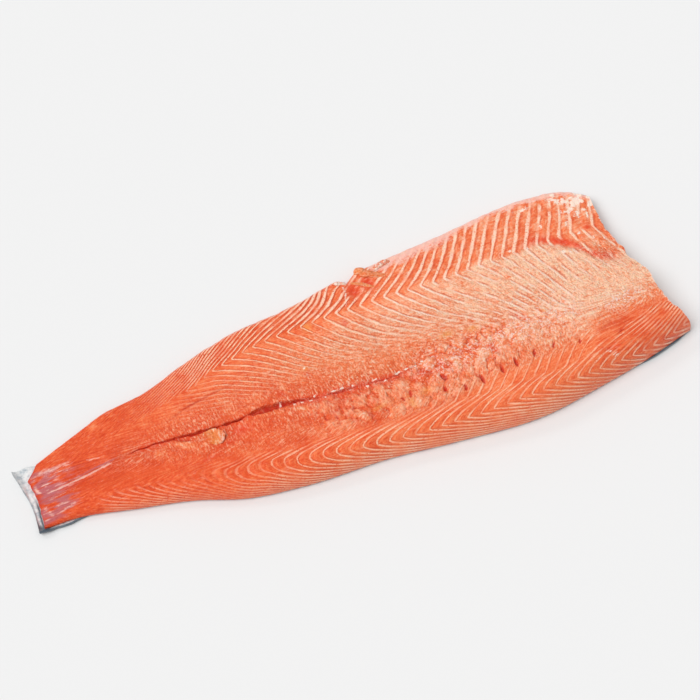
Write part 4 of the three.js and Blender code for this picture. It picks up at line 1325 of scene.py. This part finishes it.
def salmonSkinMaterial():
    look = salmonSkin
    material, tree, zone = newMaterial("salmonSkinScales", ("inside", "across", "rimDark"))
    place = addNode(tree, "ShaderNodeTexCoord").outputs["Object"]
    scales = addNode(tree, "ShaderNodeTexVoronoi", {}, {
        "Vector": place, "Scale": 1 / (look["scale"] * mm), "Randomness": 0.35})
    noise = {name: addNoise(tree, place, 1 / (size * mm), octaves).outputs["Fac"]
             for name, (size, octaves) in look["textures"].items()}
    step = {}
    for name, texture, low, high, most in (
            ("between", scales.outputs["Distance"], 0.2, 0.75, 0.45),
            ("spot", noise["spots"], 0.64, 0.7, 1.0), ("upper", zone["across"], 0.55, 0.2, 0.9),
            ("wrinkle", noise["wrinkle"], 0.4, 0.7, 1.0)):
        step[name] = addNode(tree, "ShaderNodeMapRange", {}, {
            "Value": texture, "From Min": low, "From Max": high, "To Max": most})
    spots = addMath(tree, "MULTIPLY", step["spot"], step["upper"])
    within = addMix(tree, "RGBA", step["wrinkle"], linear(look["inside"]), linear(look["wrinkle"]))
    color = addRamp(tree, look["sides"], zone["across"])
    for where, paint in ((step["between"], linear(look["between"])), (spots, linear(look["spot"])),
                         (zone["inside"], within), (zone["rimDark"], linear(look["rim"]))):
        color = addMix(tree, "RGBA", where, color, paint)
    height = addMath(tree, "ADD", scales.outputs["Distance"], noise["wrinkle"])
    bumpNode = addNode(tree, "ShaderNodeBump", {}, {"Height": height, "Strength": 0.5, "Distance": 0.5 * mm})
    shader = addNode(tree, "ShaderNodeBsdfPrincipled", {}, {
        "Base Color": color, "Roughness": look["roughness"], "IOR": 1.45, "Metallic": 0.15,
        "Normal": bumpNode, "Coat Weight": 0.4, "Coat Roughness": 0.15})
    addNode(tree, "ShaderNodeOutputMaterial", {}, {"Surface": shader})
    return material


skinPiece.data.materials.append(salmonSkinMaterial())
print("materials made")


studio = {
    "floor": "#E7E7E7",
    "sky": 0.525,
    "lamps": {  # watts a square metre, degrees across, where from, seen in gloss
        "keyLight": (2.05, 42, (-0.8, -0.02, 1.2), False),
        "glintLight": (0.25, 10, (-0.5, 0.75, 0.75), True),
    },
}


def buildFloor():
    # matt pale board, which takes a soft shadow and no gloss
    floorMesh = bpy.data.meshes.new("floor")
    far = 6  # m
    square = [(-far, -far, 0), (far, -far, 0), (far, far, 0), (-far, far, 0)]
    floorMesh.from_pydata(square, [], [(0, 1, 2, 3)])
    floor = bpy.data.objects.new("floor", floorMesh)
    bpy.context.scene.collection.objects.link(floor)
    paper = bpy.data.materials.new("paleBoard")
    paper.use_nodes = True
    surface = paper.node_tree.nodes["Principled BSDF"]
    surface.inputs["Base Color"].default_value = linear(studio["floor"])
    surface.inputs["Roughness"].default_value = 0.9
    surface.inputs["Specular IOR Level"].default_value = 0.1
    floorMesh.materials.append(paper)


def buildLight():
    # an even sky, a broad lamp from the left for the shadow, and a small one behind for the wet glints
    world = bpy.data.worlds.new("softBox")
    world.use_nodes = True
    world.node_tree.nodes["Background"].inputs["Color"].default_value = (1, 1, 1, 1)
    world.node_tree.nodes["Background"].inputs["Strength"].default_value = studio["sky"]
    bpy.context.scene.world = world
    for name, (strength, angle, source, inGloss) in studio["lamps"].items():
        lamp = bpy.data.lights.new(name, "SUN")
        lamp.energy = strength
        lamp.angle = math.radians(angle)
        light = bpy.data.objects.new(name, lamp)
        light.visible_glossy = inGloss
        light.rotation_mode = "QUATERNION"
        light.rotation_quaternion = (-Vector(source)).to_track_quat("-Z", "Y")
        bpy.context.scene.collection.objects.link(light)


camera = {
    "azimuth": -24.4,
    "elevation": 60.0,
    "lens": 85,
    "distance": 1.4759,
    "target": (9.5, 23.0, 10.0),  # mm of the fish's own lines
}


def buildCamera():
    data = bpy.data.cameras.new("camera")
    data.lens = camera["lens"]
    data.sensor_width = 36
    a, e = math.radians(camera["azimuth"]), math.radians(camera["elevation"])
    back = Vector((math.sin(a) * math.cos(e), -math.cos(a) * math.cos(e), math.sin(e)))
    x, y, z = camera["target"]
    target = Vector((x + fish["shift"][0], y + fish["shift"][1], z)) * mm
    eye = bpy.data.objects.new("camera", data)
    eye.location = target + back * camera["distance"]
    eye.rotation_mode = "QUATERNION"
    eye.rotation_quaternion = (-back).to_track_quat("-Z", "Y")
    bpy.context.scene.collection.objects.link(eye)
    bpy.context.scene.camera = eye


buildFloor()
buildLight()
buildCamera()
bpy.context.scene.view_settings.view_transform = "Standard"
print("studio ready")
